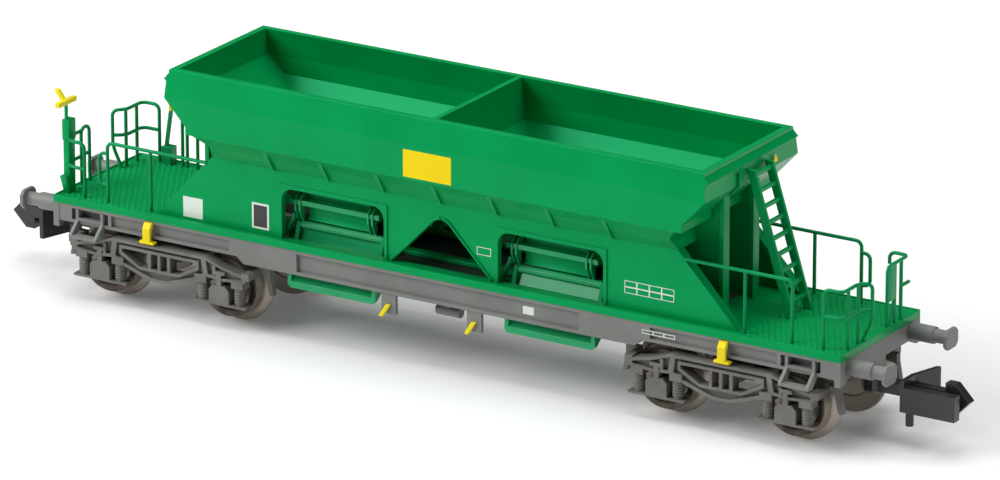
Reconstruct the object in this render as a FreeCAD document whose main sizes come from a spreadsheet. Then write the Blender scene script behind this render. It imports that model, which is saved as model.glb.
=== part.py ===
import FreeCAD, Part
import os
import Sketcher
from FreeCAD import Placement, Rotation, Vector

# Open hopper wagon on two bogies, a model at 1:160. Millimetres, +X along the wagon, +Z up.
# The origin lies on the floor under the middle of the wagon, with the wheel flanges resting on the floor.
# End a is at +X and end b at -X. Near is the -Y side and far the +Y side.

DRIVING_SIZES = {
    # Deck
    "deck_half_length": 39.6, "deck_half_width": 6.8, "deck_top": 9.05, "deck_thickness": 0.55,
    "kerb_width": 0.2, "kerb_height": 0.12, "well_half_length": 24.6, "well_half_width": 5.3,
    # Solebars, headstocks and cross members
    "sole_inner": 5.3, "sole_outer": 6.75, "sole_depth": 2.2, "sole_end_depth": 1.6,
    "sole_deep_half": 19.7, "sole_ramp": 0.7, "panel_depth": 0.3, "flange_rise": 0.3,
    "middle_panel_half": 14.2, "outer_panel_start": 21.2, "panel_gap": 0.35,
    "recess_depth": 0.85, "recess_margin": 0.6, "headstock_thickness": 0.6,
    "corner_drop": 0.6, "corner_width": 0.6, "corner_slope": 1.1,
    "spine_half_width": 0.9, "bearer_thickness": 0.8, "bearer_place": 18.2, "bolster_half_length": 1.7,
    # Hopper, outside
    "rim_half_length": 26.75, "rim_half_width": 7.4, "rim_top": 23.0, "wall": 0.65,
    "crease_half_width": 7.85, "crease_height": 20.6, "wall_foot": 17.5,
    "waist_half_width": 6.8, "waist_height": 16.45, "strip_half_width": 5.9, "strip_foot": 15.2,
    "funnel_lip": 0.5, "funnel_bottom": 11.4, "mouth_half_width": 2.2,
    "ledge_depth": 0.3, "lip_reach": 0.45, "lip_foot": 22.15, "lip_back": 0.25, "lip_undercut": 0.2,
    "band_reach": 0.25, "band_foot": 20.5, "beam_inset": 1.9, "beam_top": 18.2,
    "notch_top_inset": 2.65, "notch_inset": 3.69, "plate_top_inset": 3.35,
    "mouth_near": 5.0, "mouth_far": 17.0, "ridge_top": 15.0,
    # Hopper, inside
    "side_knee": 19.0, "divider_thickness": 0.5, "floor_gap": 1.0,
    # Gussets under the side walls
    "gusset_pitch": 5.66, "gusset_thickness": 0.4, "gusset_set_back": 0.1, "gusset_toe": 0.3,
    # Side plates
    "plate_thickness": 0.5, "plate_foot_inset": 10.35, "plate_flange_depth": 0.5, "plate_flange_width": 0.4,
    "window_near": 5.75, "window_far": 16.15, "window_top": 13.7, "window_corner": 1.1,
    "window_rim_width": 0.35, "window_rim_height": 0.12,
    "peak_top": 13.7, "peak_half_base": 5.0, "peak_half_crown": 0.5,
    # End supports
    "web_offset": 2.5, "web_thickness": 0.45, "web_outer_reach": 1.25, "web_inner": 20.5,
    "web_flange_depth": 0.5,
    # Buffers
    "buffer_offset": 5.25, "buffer_height": 7.75, "sleeve_radius": 0.75, "sleeve_length": 2.35,
    "plunger_radius": 0.6, "plunger_length": 1.25, "buffer_head_width": 2.1, "buffer_head_height": 1.75,
    "buffer_head_thickness": 0.35, "buffer_head_corner": 0.4,
    # Wheelsets
    "bogie_inset": 11.3, "wheelbase": 12.5, "flange_radius": 3.7, "tread_radius": 2.95,
    "back_half": 3.7, "wheel_width": 2.0, "flange_thickness": 0.55, "axle_radius": 0.75,
    "stub_radius": 0.45, "stub_reach": 6.5, "bearing_gap": 0.08,
    # Bogie side frames
    "frame_inner": 6.0, "frame_web_face": 6.7, "frame_flange_face": 7.1, "frame_flange_width": 0.25,
    "frame_end_half": 8.97, "frame_end_top": 5.3, "frame_end_foot": 4.62,
    "shoulder_half": 6.6, "shoulder_top": 5.76, "crown_half": 4.9, "frame_top": 6.34,
    "arch_half": 6.65, "arch_top": 4.45, "peak_half": 4.85, "peak_height": 4.6,
    "belly_half": 3.95, "belly_shoulder": 4.05, "keel_half": 2.0, "keel_rise": 3.4, "keel_foot": 3.1,
    "keel_flat_half": 0.8, "slot_half": 3.9, "slot_tip_height": 5.3, "slot_top": 5.6, "slot_foot_half": 2.0,
    "slot_foot": 4.2,
    "slot_rim": 0.25, "slot_rib": 0.3, "slot_rib_pitch": 1.0, "frame_rib_place": 5.6, "frame_rib": 0.3,
    # Axleboxes, springs and brake hangers of the bogies
    "axlebox_width": 2.05, "axlebox_foot": 2.4, "axlebox_top": 4.0, "axlebox_face": 7.15,
    "axlebox_corner": 0.4,
    "guide_width": 0.5, "guide_cap_width": 1.25, "guide_cap_foot": 5.0, "guide_cap_top": 5.3,
    "seat_half": 2.75, "seat_foot": 2.2, "seat_top": 2.4, "spring_offset": 1.9, "spring_half": 0.45,
    "spring_corner": 0.25, "spring_top": 4.0, "spring_cap_half": 0.6,
    "stub_beam_reach": 0.38, "stub_beam_gap": 0.08, "stub_beam_foot": 4.9, "stub_beam_top": 5.55,
    "hanger_near": 4.6, "hanger_far": 5.2, "hanger_reach": 1.38, "hanger_toe": 1.68, "hanger_heel": 0.9,
    "hanger_toe_width": 0.4, "hanger_foot": 3.3, "hanger_top": 5.65,
    "transom_half": 1.5, "transom_foot": 4.9, "pivot_radius": 1.3, "pivot_gap": 0.1,
    # Couplers
    "pin_inset": 0.6, "pin_radius": 0.4, "pin_gap": 0.05, "pin_collar_radius": 0.64, "pin_collar_depth": 0.2,
    "eye_radius": 0.95, "lug_gap": 0.1, "shank_half": 0.65, "shank_foot": 4.15, "shank_top": 5.15,
    "hook_start": 3.3, "hook_length": 5.2, "guide_outer": 1.5, "guide_inner": 0.6, "guide_foot": 3.1,
    "guide_top": 5.3, "arrow_length": 5.8, "arrow_thickness": 0.9, "arrow_mid": 4.5, "arrow_half_height": 1.4,
    "barb_front": 4.45, "barb_back": 3.5, "wing_reach": 3.3, "wing_sweep": 0.9, "wing_thickness": 0.4,
    "wing_foot": 3.3, "wing_top": 5.9, "trip_radius": 0.35, "trip_foot": 1.9, "trip_place": 0.75,
    # Footsteps
    "step_inset": 3.85, "step_half": 1.3, "hanger_width": 0.3, "upper_hanger_inner": 5.9,
    "upper_hanger_outer": 6.85, "hanger_knee": 7.25, "tread_reach": 8.0, "tread_depth": 0.8,
    "upper_tread_top": 7.45, "lower_tread_foot": 5.92, "tread_thickness": 0.25,
    # Discharge chutes and door gear under the funnels
    "chute_near": 6.9, "chute_far": 15.1, "chute_thickness": 0.4, "chute_head": 9.9, "chute_head_line": 4.3,
    "chute_bend": 8.3, "chute_bend_line": 5.0, "chute_knee": 6.35, "chute_knee_line": 5.25,
    "chute_lip_top": 5.4, "chute_foot": 4.85, "chute_foot_line": 6.2, "chute_corner": 0.3,
    "cheek_thickness": 0.4, "cheek_set_back": 1.0, "roll_height": 10.1, "roll_half": 0.35,
    "arm_left": 4.3, "arm_right": 3.1, "arm_spacing": 0.43, "arm_thickness": 0.18, "arm_top": 12.9,
    "arm_foot": 11.5, "arm_face": 4.95, "arm_corner": 0.45, "arm_waist": 0.75,
    "rod_height": 12.2, "rod_line": 4.6, "rod_half": 0.22, "rod_overhang": 0.85,
    # Handrails and guards
    "wire": 0.32, "rail_line": 5.85, "rail_height": 14.7, "rail_end_inset": 5.2,
    "rail_post_share": 0.57, "loop_reach": 0.85, "loop_top": 13.7, "loop_foot": 10.5,
    "guard_inset": 2.2, "guard_end_inset": 0.42, "guard_height": 14.5, "guard_mid": 12.15,
    "guard_shift": 0.55, "guard_second": 4.9, "guard_third": 3.2, "guard_bulge": 2.5, "guard_reach": 0.95,
    "guard_bend": 11.0,
    "corner_guard_start": 2.2, "corner_guard_line": 5.3, "corner_guard_drop": 1.2, "corner_guard_post": 4.1,
    "corner_guard_end": 1.75,
    "plate_half": 0.4, "plate_foot": 11.2, "plate_top": 14.4, "plate_line": 2.6,
    # Brake column, its handle and the hoop at end b
    "column_depth": 0.9, "column_near": 5.9, "column_far": 4.4, "column_top": 15.8,
    "column_flare": 0.35, "column_flare_top": 10.4, "stem_line": 5.5, "stem_radius": 0.22, "stem_top": 17.2,
    "handle_half": 1.35, "handle_thickness": 0.45, "handle_reach": 0.9, "handle_rise": 1.25,
    "hoop_near": 3.0, "hoop_far": 1.75, "hoop_inset": 0.45, "hoop_top": 14.4, "hoop_ledge": 11.9,
    # Standing gear at the far side of end b
    "post_inset": 3.75, "post_line": 5.85, "post_lean": 0.5, "post_foot": 10.7, "post_top": 14.0,
    "post_cap": 0.7, "stand_half": 0.5, "stand_hoop_near": 5.7, "stand_hoop_far": 6.8,
    # Ladder and end pipe at end a
    "ladder_top_gap": 0.02, "ladder_top": 21.6, "ladder_foot_inset": 8.6, "stringer_width": 0.8,
    "stringer_thickness": 0.35, "ladder_near": 0.75, "ladder_far": 2.2, "rung": 0.35, "rung_first": 1.2,
    "rung_pitch": 1.35, "pipe_line": 2.25, "pipe_width": 0.3,
    # Small fittings under and on the solebars
    "tank_radius": 0.48, "tank_left": 1.55, "tank_right": 0.85, "tank_line": 4.0, "tank_height": 4.85,
    "strap_half": 0.25, "lever_plate_half": 0.75, "lever_place_a": 3.78, "lever_place_b": 4.85,
    "lever_plate_face": 6.7, "lever_plate_thickness": 0.35, "lever_plate_foot": 4.5,
    "lever_top": 5.45, "lever_foot": 4.25, "lever_head_reach": 0.1, "lever_toe_reach": 0.9,
    "lever_width": 0.45, "lever_thickness": 0.3,
    "hook_place_a": 28.45, "hook_place_b": 29.45, "hook_half": 0.4, "hook_top": 8.4, "hook_shoulder": 7.9,
    "hook_foot": 6.5, "hook_depth": 0.6, "hook_strap": 0.3, "hook_base_half": 0.75, "hook_base_height": 0.25,
    # How far a cut runs past the face that it opens, and how near an edge lies to the place that picks it
    "overrun": 1.0, "edge_match": 0.001,
}

doc = FreeCAD.newDocument("hopper_wagon")
sheet = doc.addObject("Spreadsheet::Sheet", "Sizes")
for row, (alias, number) in enumerate(DRIVING_SIZES.items(), start=1):
    sheet.set("A%d" % row, alias)
    sheet.set("B%d" % row, str(number))
    sheet.setAlias("B%d" % row, alias)
doc.recompute()


class Size:
    """A length that carries its number and the formula over the named sizes that gives it."""

    def __init__(self, number, formula):
        self.number = number
        self.formula = formula

    def joined(self, sign, other, number):
        return Size(number, "(%s %s %s)" % (self.formula, sign, other.formula))

    def __add__(self, other):
        other = as_size(other)
        return self.joined("+", other, self.number + other.number)

    def __sub__(self, other):
        other = as_size(other)
        return self.joined("-", other, self.number - other.number)

    def __mul__(self, other):
        other = as_size(other)
        return self.joined("*", other, self.number * other.number)

    def __truediv__(self, other):
        other = as_size(other)
        return self.joined("/", other, self.number / other.number)

    def __neg__(self):
        return self * -1

    __rmul__ = __mul__


def as_size(value):
    return value if isinstance(value, Size) else Size(float(value), repr(float(value)))


class Sheet:
    """Named sizes read as size.name."""

    def __getattr__(self, alias):
        return Size(float(sheet.get(alias)), "Sizes." + alias)


size = Sheet()
ZERO = as_size(0)


def rising(first, second):
    """Two places in rising order."""
    first, second = as_size(first), as_size(second)
    return (first, second) if first.number <= second.number else (second, first)


def bind(thing, **lengths):
    """Ties properties of a feature to their formulas."""
    for name, value in lengths.items():
        thing.setExpression(name.replace("__", "."), as_size(value).formula)
    return thing


def new_body(label):
    body = doc.addObject("PartDesign::Body", label)
    body.Label = label
    return body


def origin_plane(body, role):
    return next(plane for plane in body.Origin.OriginFeatures if plane.Role == role)


def new_sketch(body, role, name, height):
    """An empty sketch on one of the body's own planes, raised along the plane's normal."""
    sketch = body.newObject("Sketcher::SketchObject", name)
    sketch.AttachmentSupport = [(origin_plane(body, role), "")]
    sketch.MapMode = "FlatFace"
    return bind(sketch, AttachmentOffset__Base__z=height)


def fix(sketch, *constraint):
    """Adds a dimension whose value, given last, follows its formula."""
    length = as_size(constraint[-1])
    place = sketch.addConstraint(Sketcher.Constraint(*constraint[:-1], length.number))
    sketch.setExpression("Constraints[%d]" % place, length.formula)


def outline(body, role, corners, height=ZERO):
    """A closed outline of straight lines whose corners follow the sizes."""
    sketch = new_sketch(body, role, "Outline", height)
    spots = [Vector(as_size(across).number, as_size(up).number, 0) for across, up in corners]
    for index, spot in enumerate(spots):
        sketch.addGeometry(Part.LineSegment(spot, spots[(index + 1) % len(spots)]), False)
    last = (None, None)
    for index, (across, up) in enumerate(corners):
        sketch.addConstraint(Sketcher.Constraint("Coincident", index, 2, (index + 1) % len(spots), 1))
        spot = (as_size(across).formula, as_size(up).formula)
        if spot[0] == last[0]:
            sketch.addConstraint(Sketcher.Constraint("Vertical", index - 1))
        else:
            fix(sketch, "DistanceX", -1, 1, index, 1, across)
        if spot[1] == last[1]:
            sketch.addConstraint(Sketcher.Constraint("Horizontal", index - 1))
        else:
            fix(sketch, "DistanceY", -1, 1, index, 1, up)
        last = spot
    return sketch


def disc(body, role, across, up, radius, height=ZERO):
    """An outline of one circle."""
    sketch = new_sketch(body, role, "Circle", height)
    centre = Vector(as_size(across).number, as_size(up).number, 0)
    sketch.addGeometry(Part.Circle(centre, Vector(0, 0, 1), radius.number), False)
    fix(sketch, "DistanceX", -1, 1, 0, 3, across)
    fix(sketch, "DistanceY", -1, 1, 0, 3, up)
    fix(sketch, "Radius", 0, radius)
    return sketch


def start_height(role, low, high):
    """Where an outline lies on its plane's normal for a feature from low to high on the wagon's axis."""
    return -high if role == "XZ_Plane" else low


def add(body, role, corners, low, high):
    """Raises an outline from low to high along the axis that its plane faces."""
    low, high = rising(low, high)
    pad = body.newObject("PartDesign::Pad", "Pad")
    pad.Profile = outline(body, role, corners, start_height(role, low, high))
    return bind(pad, Length=high - low)


def cut(body, role, corners, low, high):
    """Cuts an outline away from low to high along the axis that its plane faces."""
    low, high = rising(low, high)
    pocket = body.newObject("PartDesign::Pocket", "Pocket")
    pocket.Profile = outline(body, role, corners, start_height(role, low, high))
    pocket.Reversed = True
    return bind(pocket, Length=high - low)


def add_round(body, role, across, up, radius, low, high):
    low, high = rising(low, high)
    pad = body.newObject("PartDesign::Pad", "Round")
    pad.Profile = disc(body, role, across, up, radius, start_height(role, low, high))
    return bind(pad, Length=high - low)


def cut_round(body, role, across, up, radius, low, high):
    low, high = rising(low, high)
    pocket = body.newObject("PartDesign::Pocket", "RoundHole")
    pocket.Profile = disc(body, role, across, up, radius, start_height(role, low, high))
    pocket.Reversed = True
    return bind(pocket, Length=high - low)


def rectangle(left, right, foot, top):
    return [(left, foot), (right, foot), (right, top), (left, top)]


def bevelled(left, right, foot, top, corner):
    """A rectangle with its four corners cut off."""
    return [(left + corner, foot), (right - corner, foot), (right, foot + corner), (right, top - corner),
            (right - corner, top), (left + corner, top), (left, top - corner), (left, foot + corner)]


def both_hands(half):
    """Closes a half outline, given from foot to top, with its mirror image."""
    return half + [(-across, up) for across, up in reversed(half)]


def handed(corners, hand):
    return [(across * hand, up) for across, up in corners]


def block(body, along, across, up):
    """A box between two places on each axis."""
    return add(body, "XY_Plane", rectangle(*along, *across), *up)


def around(middle, half):
    return (middle - half, middle + half)


def mirror(body, features, role):
    """Mirrors features in one of the body's own planes."""
    copy = body.newObject("PartDesign::Mirrored", "Mirrored")
    copy.Originals = features
    copy.MirrorPlane = (origin_plane(body, role), [""])
    body.Tip = copy
    return copy


def round_edges(body, radius, direction, spots):
    """Rounds the edges that run along one axis through the given places on the other two."""
    doc.recompute()
    last = body.Tip
    axis = "xyz".index(direction)
    others = [index for index in range(len("xyz")) if index != axis]
    tolerance = size.edge_match.number
    names = []
    for number, edge in enumerate(last.Shape.Edges, start=1):
        ends = [vertex.Point for vertex in edge.Vertexes]
        if len(ends) == 2 and all(abs(ends[0][other] - ends[1][other]) < tolerance for other in others):
            if any(all(abs(ends[0][other] - as_size(place).number) < tolerance
                       for other, place in zip(others, spot)) for spot in spots):
                names.append("Edge%d" % number)
    fillet = body.newObject("PartDesign::Fillet", "Fillet")
    fillet.Base = (last, names)
    return bind(fillet, Radius=radius)


def turned(body, along=ZERO, across=ZERO, half_turn=False):
    """Puts a body at its place, turned end for end where asked."""
    body.Placement = Placement(Vector(), Rotation(Vector(0, 0, 1), 180 if half_turn else 0))
    bind(body, Placement__Base__x=along, Placement__Base__y=across)
    return body


# Share of an octagon's half width that each corner takes off
OCTAGON_SHARE = 0.586

# How many gussets follow the middle one each way, and how many rungs the ladder has
GUSSETS_EACH_WAY = 3
RUNG_COUNT = 9

# Heights and places that several pieces share
SOLE_TOP = size.deck_top - size.deck_thickness
SOLE_DEEP = SOLE_TOP - size.sole_depth
SOLE_SHALLOW = SOLE_TOP - size.sole_end_depth
DECK_END = size.deck_half_length
BOGIE_PLACE = DECK_END - size.bogie_inset
STEP_PLACE = DECK_END - size.step_inset
PIN_PLACE = DECK_END - size.pin_inset
PLATE_FOOT = DECK_END - size.plate_foot_inset
RAIL_END = DECK_END - size.rail_end_inset
BAND = size.rim_half_length + size.band_reach
BEAM_FACE = size.rim_half_length - size.beam_inset
PLATE_TOP = size.rim_half_length - size.plate_top_inset
PLATE_PITCH = (PLATE_FOOT - PLATE_TOP) / (size.strip_foot - size.deck_top)
END_PITCH = (size.strip_foot - size.funnel_bottom) / (PLATE_TOP - size.mouth_far)
BEAM_PITCH = (size.band_foot - size.beam_top) / (BAND - BEAM_FACE)
SUPPORT_FACE = BEAM_FACE + size.web_outer_reach
SUPPORT_HEAD = size.beam_top + size.web_outer_reach * BEAM_PITCH
GUARD_LINE = DECK_END - size.guard_end_inset


def underframe():
    """Grey channel solebars, headstocks, spine, bearers, bogie bolsters and coupler pins."""
    body = new_body("underframe")
    inner = size.sole_inner
    outer = size.sole_outer
    ramp = size.sole_deep_half + size.sole_ramp
    features = [add(body, "XZ_Plane", [
        (-DECK_END, SOLE_TOP), (-DECK_END, SOLE_SHALLOW), (-ramp, SOLE_SHALLOW),
        (-size.sole_deep_half, SOLE_DEEP), (size.sole_deep_half, SOLE_DEEP),
        (ramp, SOLE_SHALLOW), (DECK_END, SOLE_SHALLOW), (DECK_END, SOLE_TOP)],
        -outer, -inner)]
    high = SOLE_TOP - size.flange_rise
    outside = -outer - size.overrun
    features.append(cut(body, "XZ_Plane", rectangle(
        -size.middle_panel_half, size.middle_panel_half, SOLE_DEEP + size.flange_rise, high),
        outside, size.panel_depth - outer))
    low = SOLE_SHALLOW + size.flange_rise
    recess_half = size.step_half + size.recess_margin
    for hand in (-1, 1):
        near, far = around(STEP_PLACE, recess_half)
        features.append(cut(body, "XZ_Plane", rectangle(
            size.outer_panel_start * hand, (near - size.panel_gap) * hand, low, high),
            outside, size.panel_depth - outer))
        features.append(cut(body, "XZ_Plane", rectangle(near * hand, far * hand, low, high),
                            outside, size.recess_depth - outer))
        for place in (-1, 1):
            features.append(cut(body, "XZ_Plane", rectangle(
                *around((STEP_PLACE + size.step_half * place) * hand, size.hanger_width / 2),
                SOLE_SHALLOW - size.overrun, low), outside, size.recess_depth - outer))
    mirror(body, features, "XZ_Plane")
    wide = size.deck_half_width
    foot = SOLE_SHALLOW - size.corner_drop
    corner = wide - size.corner_width
    slope = corner - size.corner_slope
    for hand in (-1, 1):
        add(body, "YZ_Plane", [
            (-wide, SOLE_TOP), (-wide, foot), (-corner, foot), (-slope, SOLE_SHALLOW), (slope, SOLE_SHALLOW),
            (corner, foot), (wide, foot), (wide, SOLE_TOP)],
            (DECK_END - size.headstock_thickness) * hand, DECK_END * hand)
        block(body, around(BOGIE_PLACE * hand, size.bolster_half_length), (-inner, inner),
              (SOLE_SHALLOW, SOLE_TOP))
        block(body, around(size.bearer_place * hand, size.bearer_thickness / 2), (-inner, inner),
              (SOLE_DEEP, SOLE_TOP))
    block(body, around(ZERO, DECK_END - size.headstock_thickness), around(ZERO, size.spine_half_width),
          (SOLE_SHALLOW, SOLE_TOP))
    collar = size.shank_foot - size.lug_gap
    for hand in (-1, 1):
        lug = PIN_PLACE * hand
        block(body, (lug - size.eye_radius * hand, DECK_END * hand), around(ZERO, size.eye_radius),
              (size.shank_top + size.lug_gap, SOLE_SHALLOW))
        add_round(body, "XY_Plane", lug, ZERO, size.pin_radius, collar, size.shank_top + size.lug_gap)
        reach = size.pin_collar_radius
        add(body, "XY_Plane", bevelled(*around(lug, reach), *around(ZERO, reach), reach * OCTAGON_SHARE),
            collar - size.pin_collar_depth, collar)
    return body


def deck():
    """Green platform with its raised kerb and the well under the hopper."""
    body = new_body("deck")
    block(body, (-DECK_END, DECK_END), (-size.deck_half_width, size.deck_half_width),
          (SOLE_TOP, size.deck_top + size.kerb_height))
    length = DECK_END - size.kerb_width
    width = size.deck_half_width - size.kerb_width
    above = size.deck_top + size.overrun
    cut(body, "XY_Plane", rectangle(-length, length, -width, width), size.deck_top, above)
    cut(body, "XY_Plane", rectangle(
        -size.well_half_length, size.well_half_length, -size.well_half_width, size.well_half_width),
        SOLE_TOP - size.overrun, above)
    return body


def hopper_shell():
    """Green two-bin hopper: flared walls with a lip at each end, sloping ends and funnels."""
    body = new_body("hopper_shell")
    lip = size.rim_half_length + size.lip_reach
    add(body, "YZ_Plane", both_hands([
        (size.mouth_half_width, size.funnel_bottom),
        (size.strip_half_width - size.funnel_lip, size.strip_foot),
        (size.strip_half_width, size.strip_foot), (size.waist_half_width, size.waist_height),
        (size.crease_half_width, size.wall_foot), (size.crease_half_width, size.crease_height),
        (size.rim_half_width, size.rim_top)]), -lip, lip)
    outside = lip + size.overrun
    above = size.rim_top + size.overrun
    below = size.funnel_bottom - size.overrun
    wide = size.crease_half_width + size.overrun
    for hand in (-1, 1):
        cut(body, "XZ_Plane", handed([
            (outside, above), (size.rim_half_length, above),
            (size.rim_half_length, size.rim_top - size.ledge_depth),
            (lip, size.lip_foot), (lip - size.lip_back, size.lip_foot - size.lip_undercut),
            (BAND, size.band_foot), (BEAM_FACE, size.beam_top), (BEAM_FACE, size.wall_foot),
            (size.rim_half_length - size.notch_top_inset, size.wall_foot),
            (size.rim_half_length - size.notch_inset, size.waist_height), (PLATE_TOP, size.strip_foot),
            (size.mouth_far, size.funnel_bottom), (size.mouth_far, below),
            (outside, below)], hand), -wide, wide)
    cut(body, "XZ_Plane", [(-size.mouth_near, below), (-size.mouth_near, size.funnel_bottom),
                           (ZERO, size.ridge_top), (size.mouth_near, size.funnel_bottom),
                           (size.mouth_near, below)],
        -wide, wide)
    return body


def bins(body):
    """Hollows the two bins, each as three tapering blocks on top of each other."""
    floor = size.funnel_bottom + size.floor_gap
    far = size.rim_half_length - size.wall
    inner = size.crease_half_width - size.wall
    near = size.divider_thickness / 2
    rise = (size.rim_top + size.overrun - size.crease_height) / (size.rim_top - size.crease_height)
    taper = (size.crease_half_width - size.rim_half_width) * rise
    sections = [
        (floor, size.mouth_near + size.wall, size.mouth_far - size.wall,
         size.mouth_half_width - size.wall / 2),
        (size.side_knee, near, far - (size.crease_height - size.side_knee), inner),
        (size.crease_height, near, far, inner),
        (size.rim_top + size.overrun, near, far, inner - taper),
    ]
    for hand in (-1, 1):
        for lower, upper in zip(sections, sections[1:]):
            hollow = body.newObject("PartDesign::SubtractiveWedge", "Bin")
            hollow.AttachmentSupport = [(origin_plane(body, "XY_Plane"), "")]
            hollow.MapMode = "FlatFace"
            hollow.AttachmentOffset = Placement(Vector(), Rotation(Vector(1, 0, 0), 90))
            for (height, start, stop, half), mark, low, high in (
                    (lower, "Ymin", ("Xmin", "Zmin"), ("Xmax", "Zmax")),
                    (upper, "Ymax", ("X2min", "Z2min"), ("X2max", "Z2max"))):
                left, right = rising(start * hand, stop * hand)
                bind(hollow, **{mark: height, low[0]: left, high[0]: right, low[1]: -half, high[1]: half})
    return body


def gussets(body):
    """Seven small triangular plates on each side, from the wall's foot in to the waist strip."""
    outer = size.crease_half_width - size.gusset_set_back
    for place in range(-GUSSETS_EACH_WAY, GUSSETS_EACH_WAY + 1):
        for side in (-1, 1):
            add(body, "YZ_Plane", handed([
                (outer, size.wall_foot), (size.strip_half_width, size.wall_foot),
                (size.strip_half_width, size.strip_foot),
                (size.strip_half_width + size.gusset_toe, size.strip_foot)],
                side), *around(size.gusset_pitch * place, size.gusset_thickness / 2))
    return body


def side_plate(label, side):
    """Green trapezoid side plate with flanged ends, two framed door windows and a peaked opening between."""
    body = new_body(label)
    outer = size.strip_half_width
    inner = outer - size.plate_thickness
    foot = size.deck_top
    add(body, "XZ_Plane", both_hands([(PLATE_FOOT, foot), (PLATE_TOP, size.strip_foot)]),
        inner * side, outer * side)
    rim = outer + size.window_rim_height
    flange = size.plate_flange_width
    beyond = foot - size.overrun
    corners = []
    for hand in (-1, 1):
        add(body, "XZ_Plane", handed([
            (PLATE_FOOT - flange, foot), (PLATE_FOOT, foot), (PLATE_TOP, size.strip_foot),
            (PLATE_TOP - flange, size.strip_foot - flange * END_PITCH)], hand),
            (inner - size.plate_flange_depth) * side, inner * side)
        add(body, "XZ_Plane", handed(rectangle(
            size.window_near - size.window_rim_width, size.window_far + size.window_rim_width, foot,
            size.window_top + size.window_rim_width), hand), outer * side, rim * side)
        cut(body, "XZ_Plane", handed(rectangle(
            size.window_near, size.window_far, beyond, size.window_top), hand),
            (inner - size.overrun) * side, (rim + size.overrun) * side)
        corners += [(size.window_near * hand, size.window_top), (size.window_far * hand, size.window_top)]
    cut(body, "XZ_Plane", both_hands([
        (size.peak_half_base, beyond), (size.peak_half_base, foot), (size.peak_half_crown, size.peak_top)]),
        (inner - size.overrun) * side, (outer + size.overrun) * side)
    round_edges(body, size.window_corner, "y", corners)
    return body


def end_support(label, hand):
    """Two upright flanged web plates that carry the hopper's sloping end on the platform."""
    body = new_body(label)
    outer = SUPPORT_FACE
    head = SUPPORT_HEAD
    back = size.rim_half_length - size.notch_top_inset
    for side in (-1, 1):
        add(body, "XZ_Plane", handed([
            (size.web_inner, size.deck_top), (outer, size.deck_top), (outer, head),
            (BEAM_FACE, size.beam_top),
            (BEAM_FACE, size.wall_foot), (back, size.wall_foot),
            (size.rim_half_length - size.notch_inset, size.waist_height), (PLATE_TOP, size.strip_foot),
            (size.web_inner, size.strip_foot - (PLATE_TOP - size.web_inner) * END_PITCH)], hand),
            *around(size.web_offset * side, size.web_thickness / 2))
        add(body, "XZ_Plane", handed([
            (outer - size.web_thickness, size.deck_top), (outer, size.deck_top), (outer, head),
            (outer - size.web_thickness, head - size.web_thickness * BEAM_PITCH)], hand),
            *around(size.web_offset * side, size.web_flange_depth))
    return body


def buffer(label, hand, side):
    """Rectangular-headed buffer on its sleeve."""
    body = new_body(label)
    middle = size.buffer_height
    plunger = size.sleeve_length + size.plunger_length
    add_round(body, "YZ_Plane", ZERO, middle, size.sleeve_radius, ZERO, size.sleeve_length)
    add_round(body, "YZ_Plane", ZERO, middle, size.plunger_radius, size.sleeve_length, plunger)
    add(body, "YZ_Plane", bevelled(
        *around(ZERO, size.buffer_head_width / 2), *around(middle, size.buffer_head_height / 2),
        size.buffer_head_corner), plunger, plunger + size.buffer_head_thickness)
    return turned(body, DECK_END * hand, size.buffer_offset * side, hand < 0)


def footstep(label, hand, side):
    """Two-tread footstep whose hangers stand in the solebar's recess."""
    body = new_body(label)
    inner = size.upper_hanger_inner
    outer = size.upper_hanger_outer
    foot = size.lower_tread_foot
    reach = size.tread_reach
    heel = reach - size.tread_depth
    slant = outer - inner
    for place in (-1, 1):
        add(body, "YZ_Plane", [
            (-inner, SOLE_TOP - size.flange_rise), (-outer, SOLE_TOP - size.flange_rise),
            (-outer, size.hanger_knee),
            (-reach, foot + size.tread_thickness), (-reach, foot), (-heel, foot), (-inner, size.hanger_knee)],
            *around(size.step_half * place, size.hanger_width / 2))
    block(body, around(ZERO, size.step_half), (-outer, -outer + slant / 2),
          (size.upper_tread_top - size.tread_thickness, size.upper_tread_top))
    block(body, around(ZERO, size.step_half), (-reach, -heel), (foot, foot + size.tread_thickness))
    return turned(body, STEP_PLACE * hand, ZERO, side > 0)


def wheelset(label, place, hand):
    """Axle with its stub ends and two flanged wheels, in one piece."""
    body = new_body(label)
    inner = size.back_half
    rim = inner + size.wheel_width
    half = [
        (size.axle_radius, inner), (size.flange_radius, inner),
        (size.tread_radius, inner + size.flange_thickness),
        (size.tread_radius, rim), (ZERO, rim),
    ]
    turn = body.newObject("PartDesign::Revolution", "Turned")
    sketch = outline(body, "XY_Plane", half + [(across, -up) for across, up in reversed(half)])
    turn.Profile = sketch
    turn.ReferenceAxis = (sketch, ["V_Axis"])
    turn.Angle = 360
    reach = size.stub_radius
    for side in (-1, 1):
        add(body, "XZ_Plane", bevelled(*around(ZERO, reach), *around(ZERO, reach), reach * OCTAGON_SHARE),
            rim * side, size.stub_reach * side)
    body.Placement = Placement(Vector(), Rotation())
    bind(body, Placement__Base__x=BOGIE_PLACE * hand + size.wheelbase / 2 * place,
         Placement__Base__z=size.flange_radius)
    return body


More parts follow.
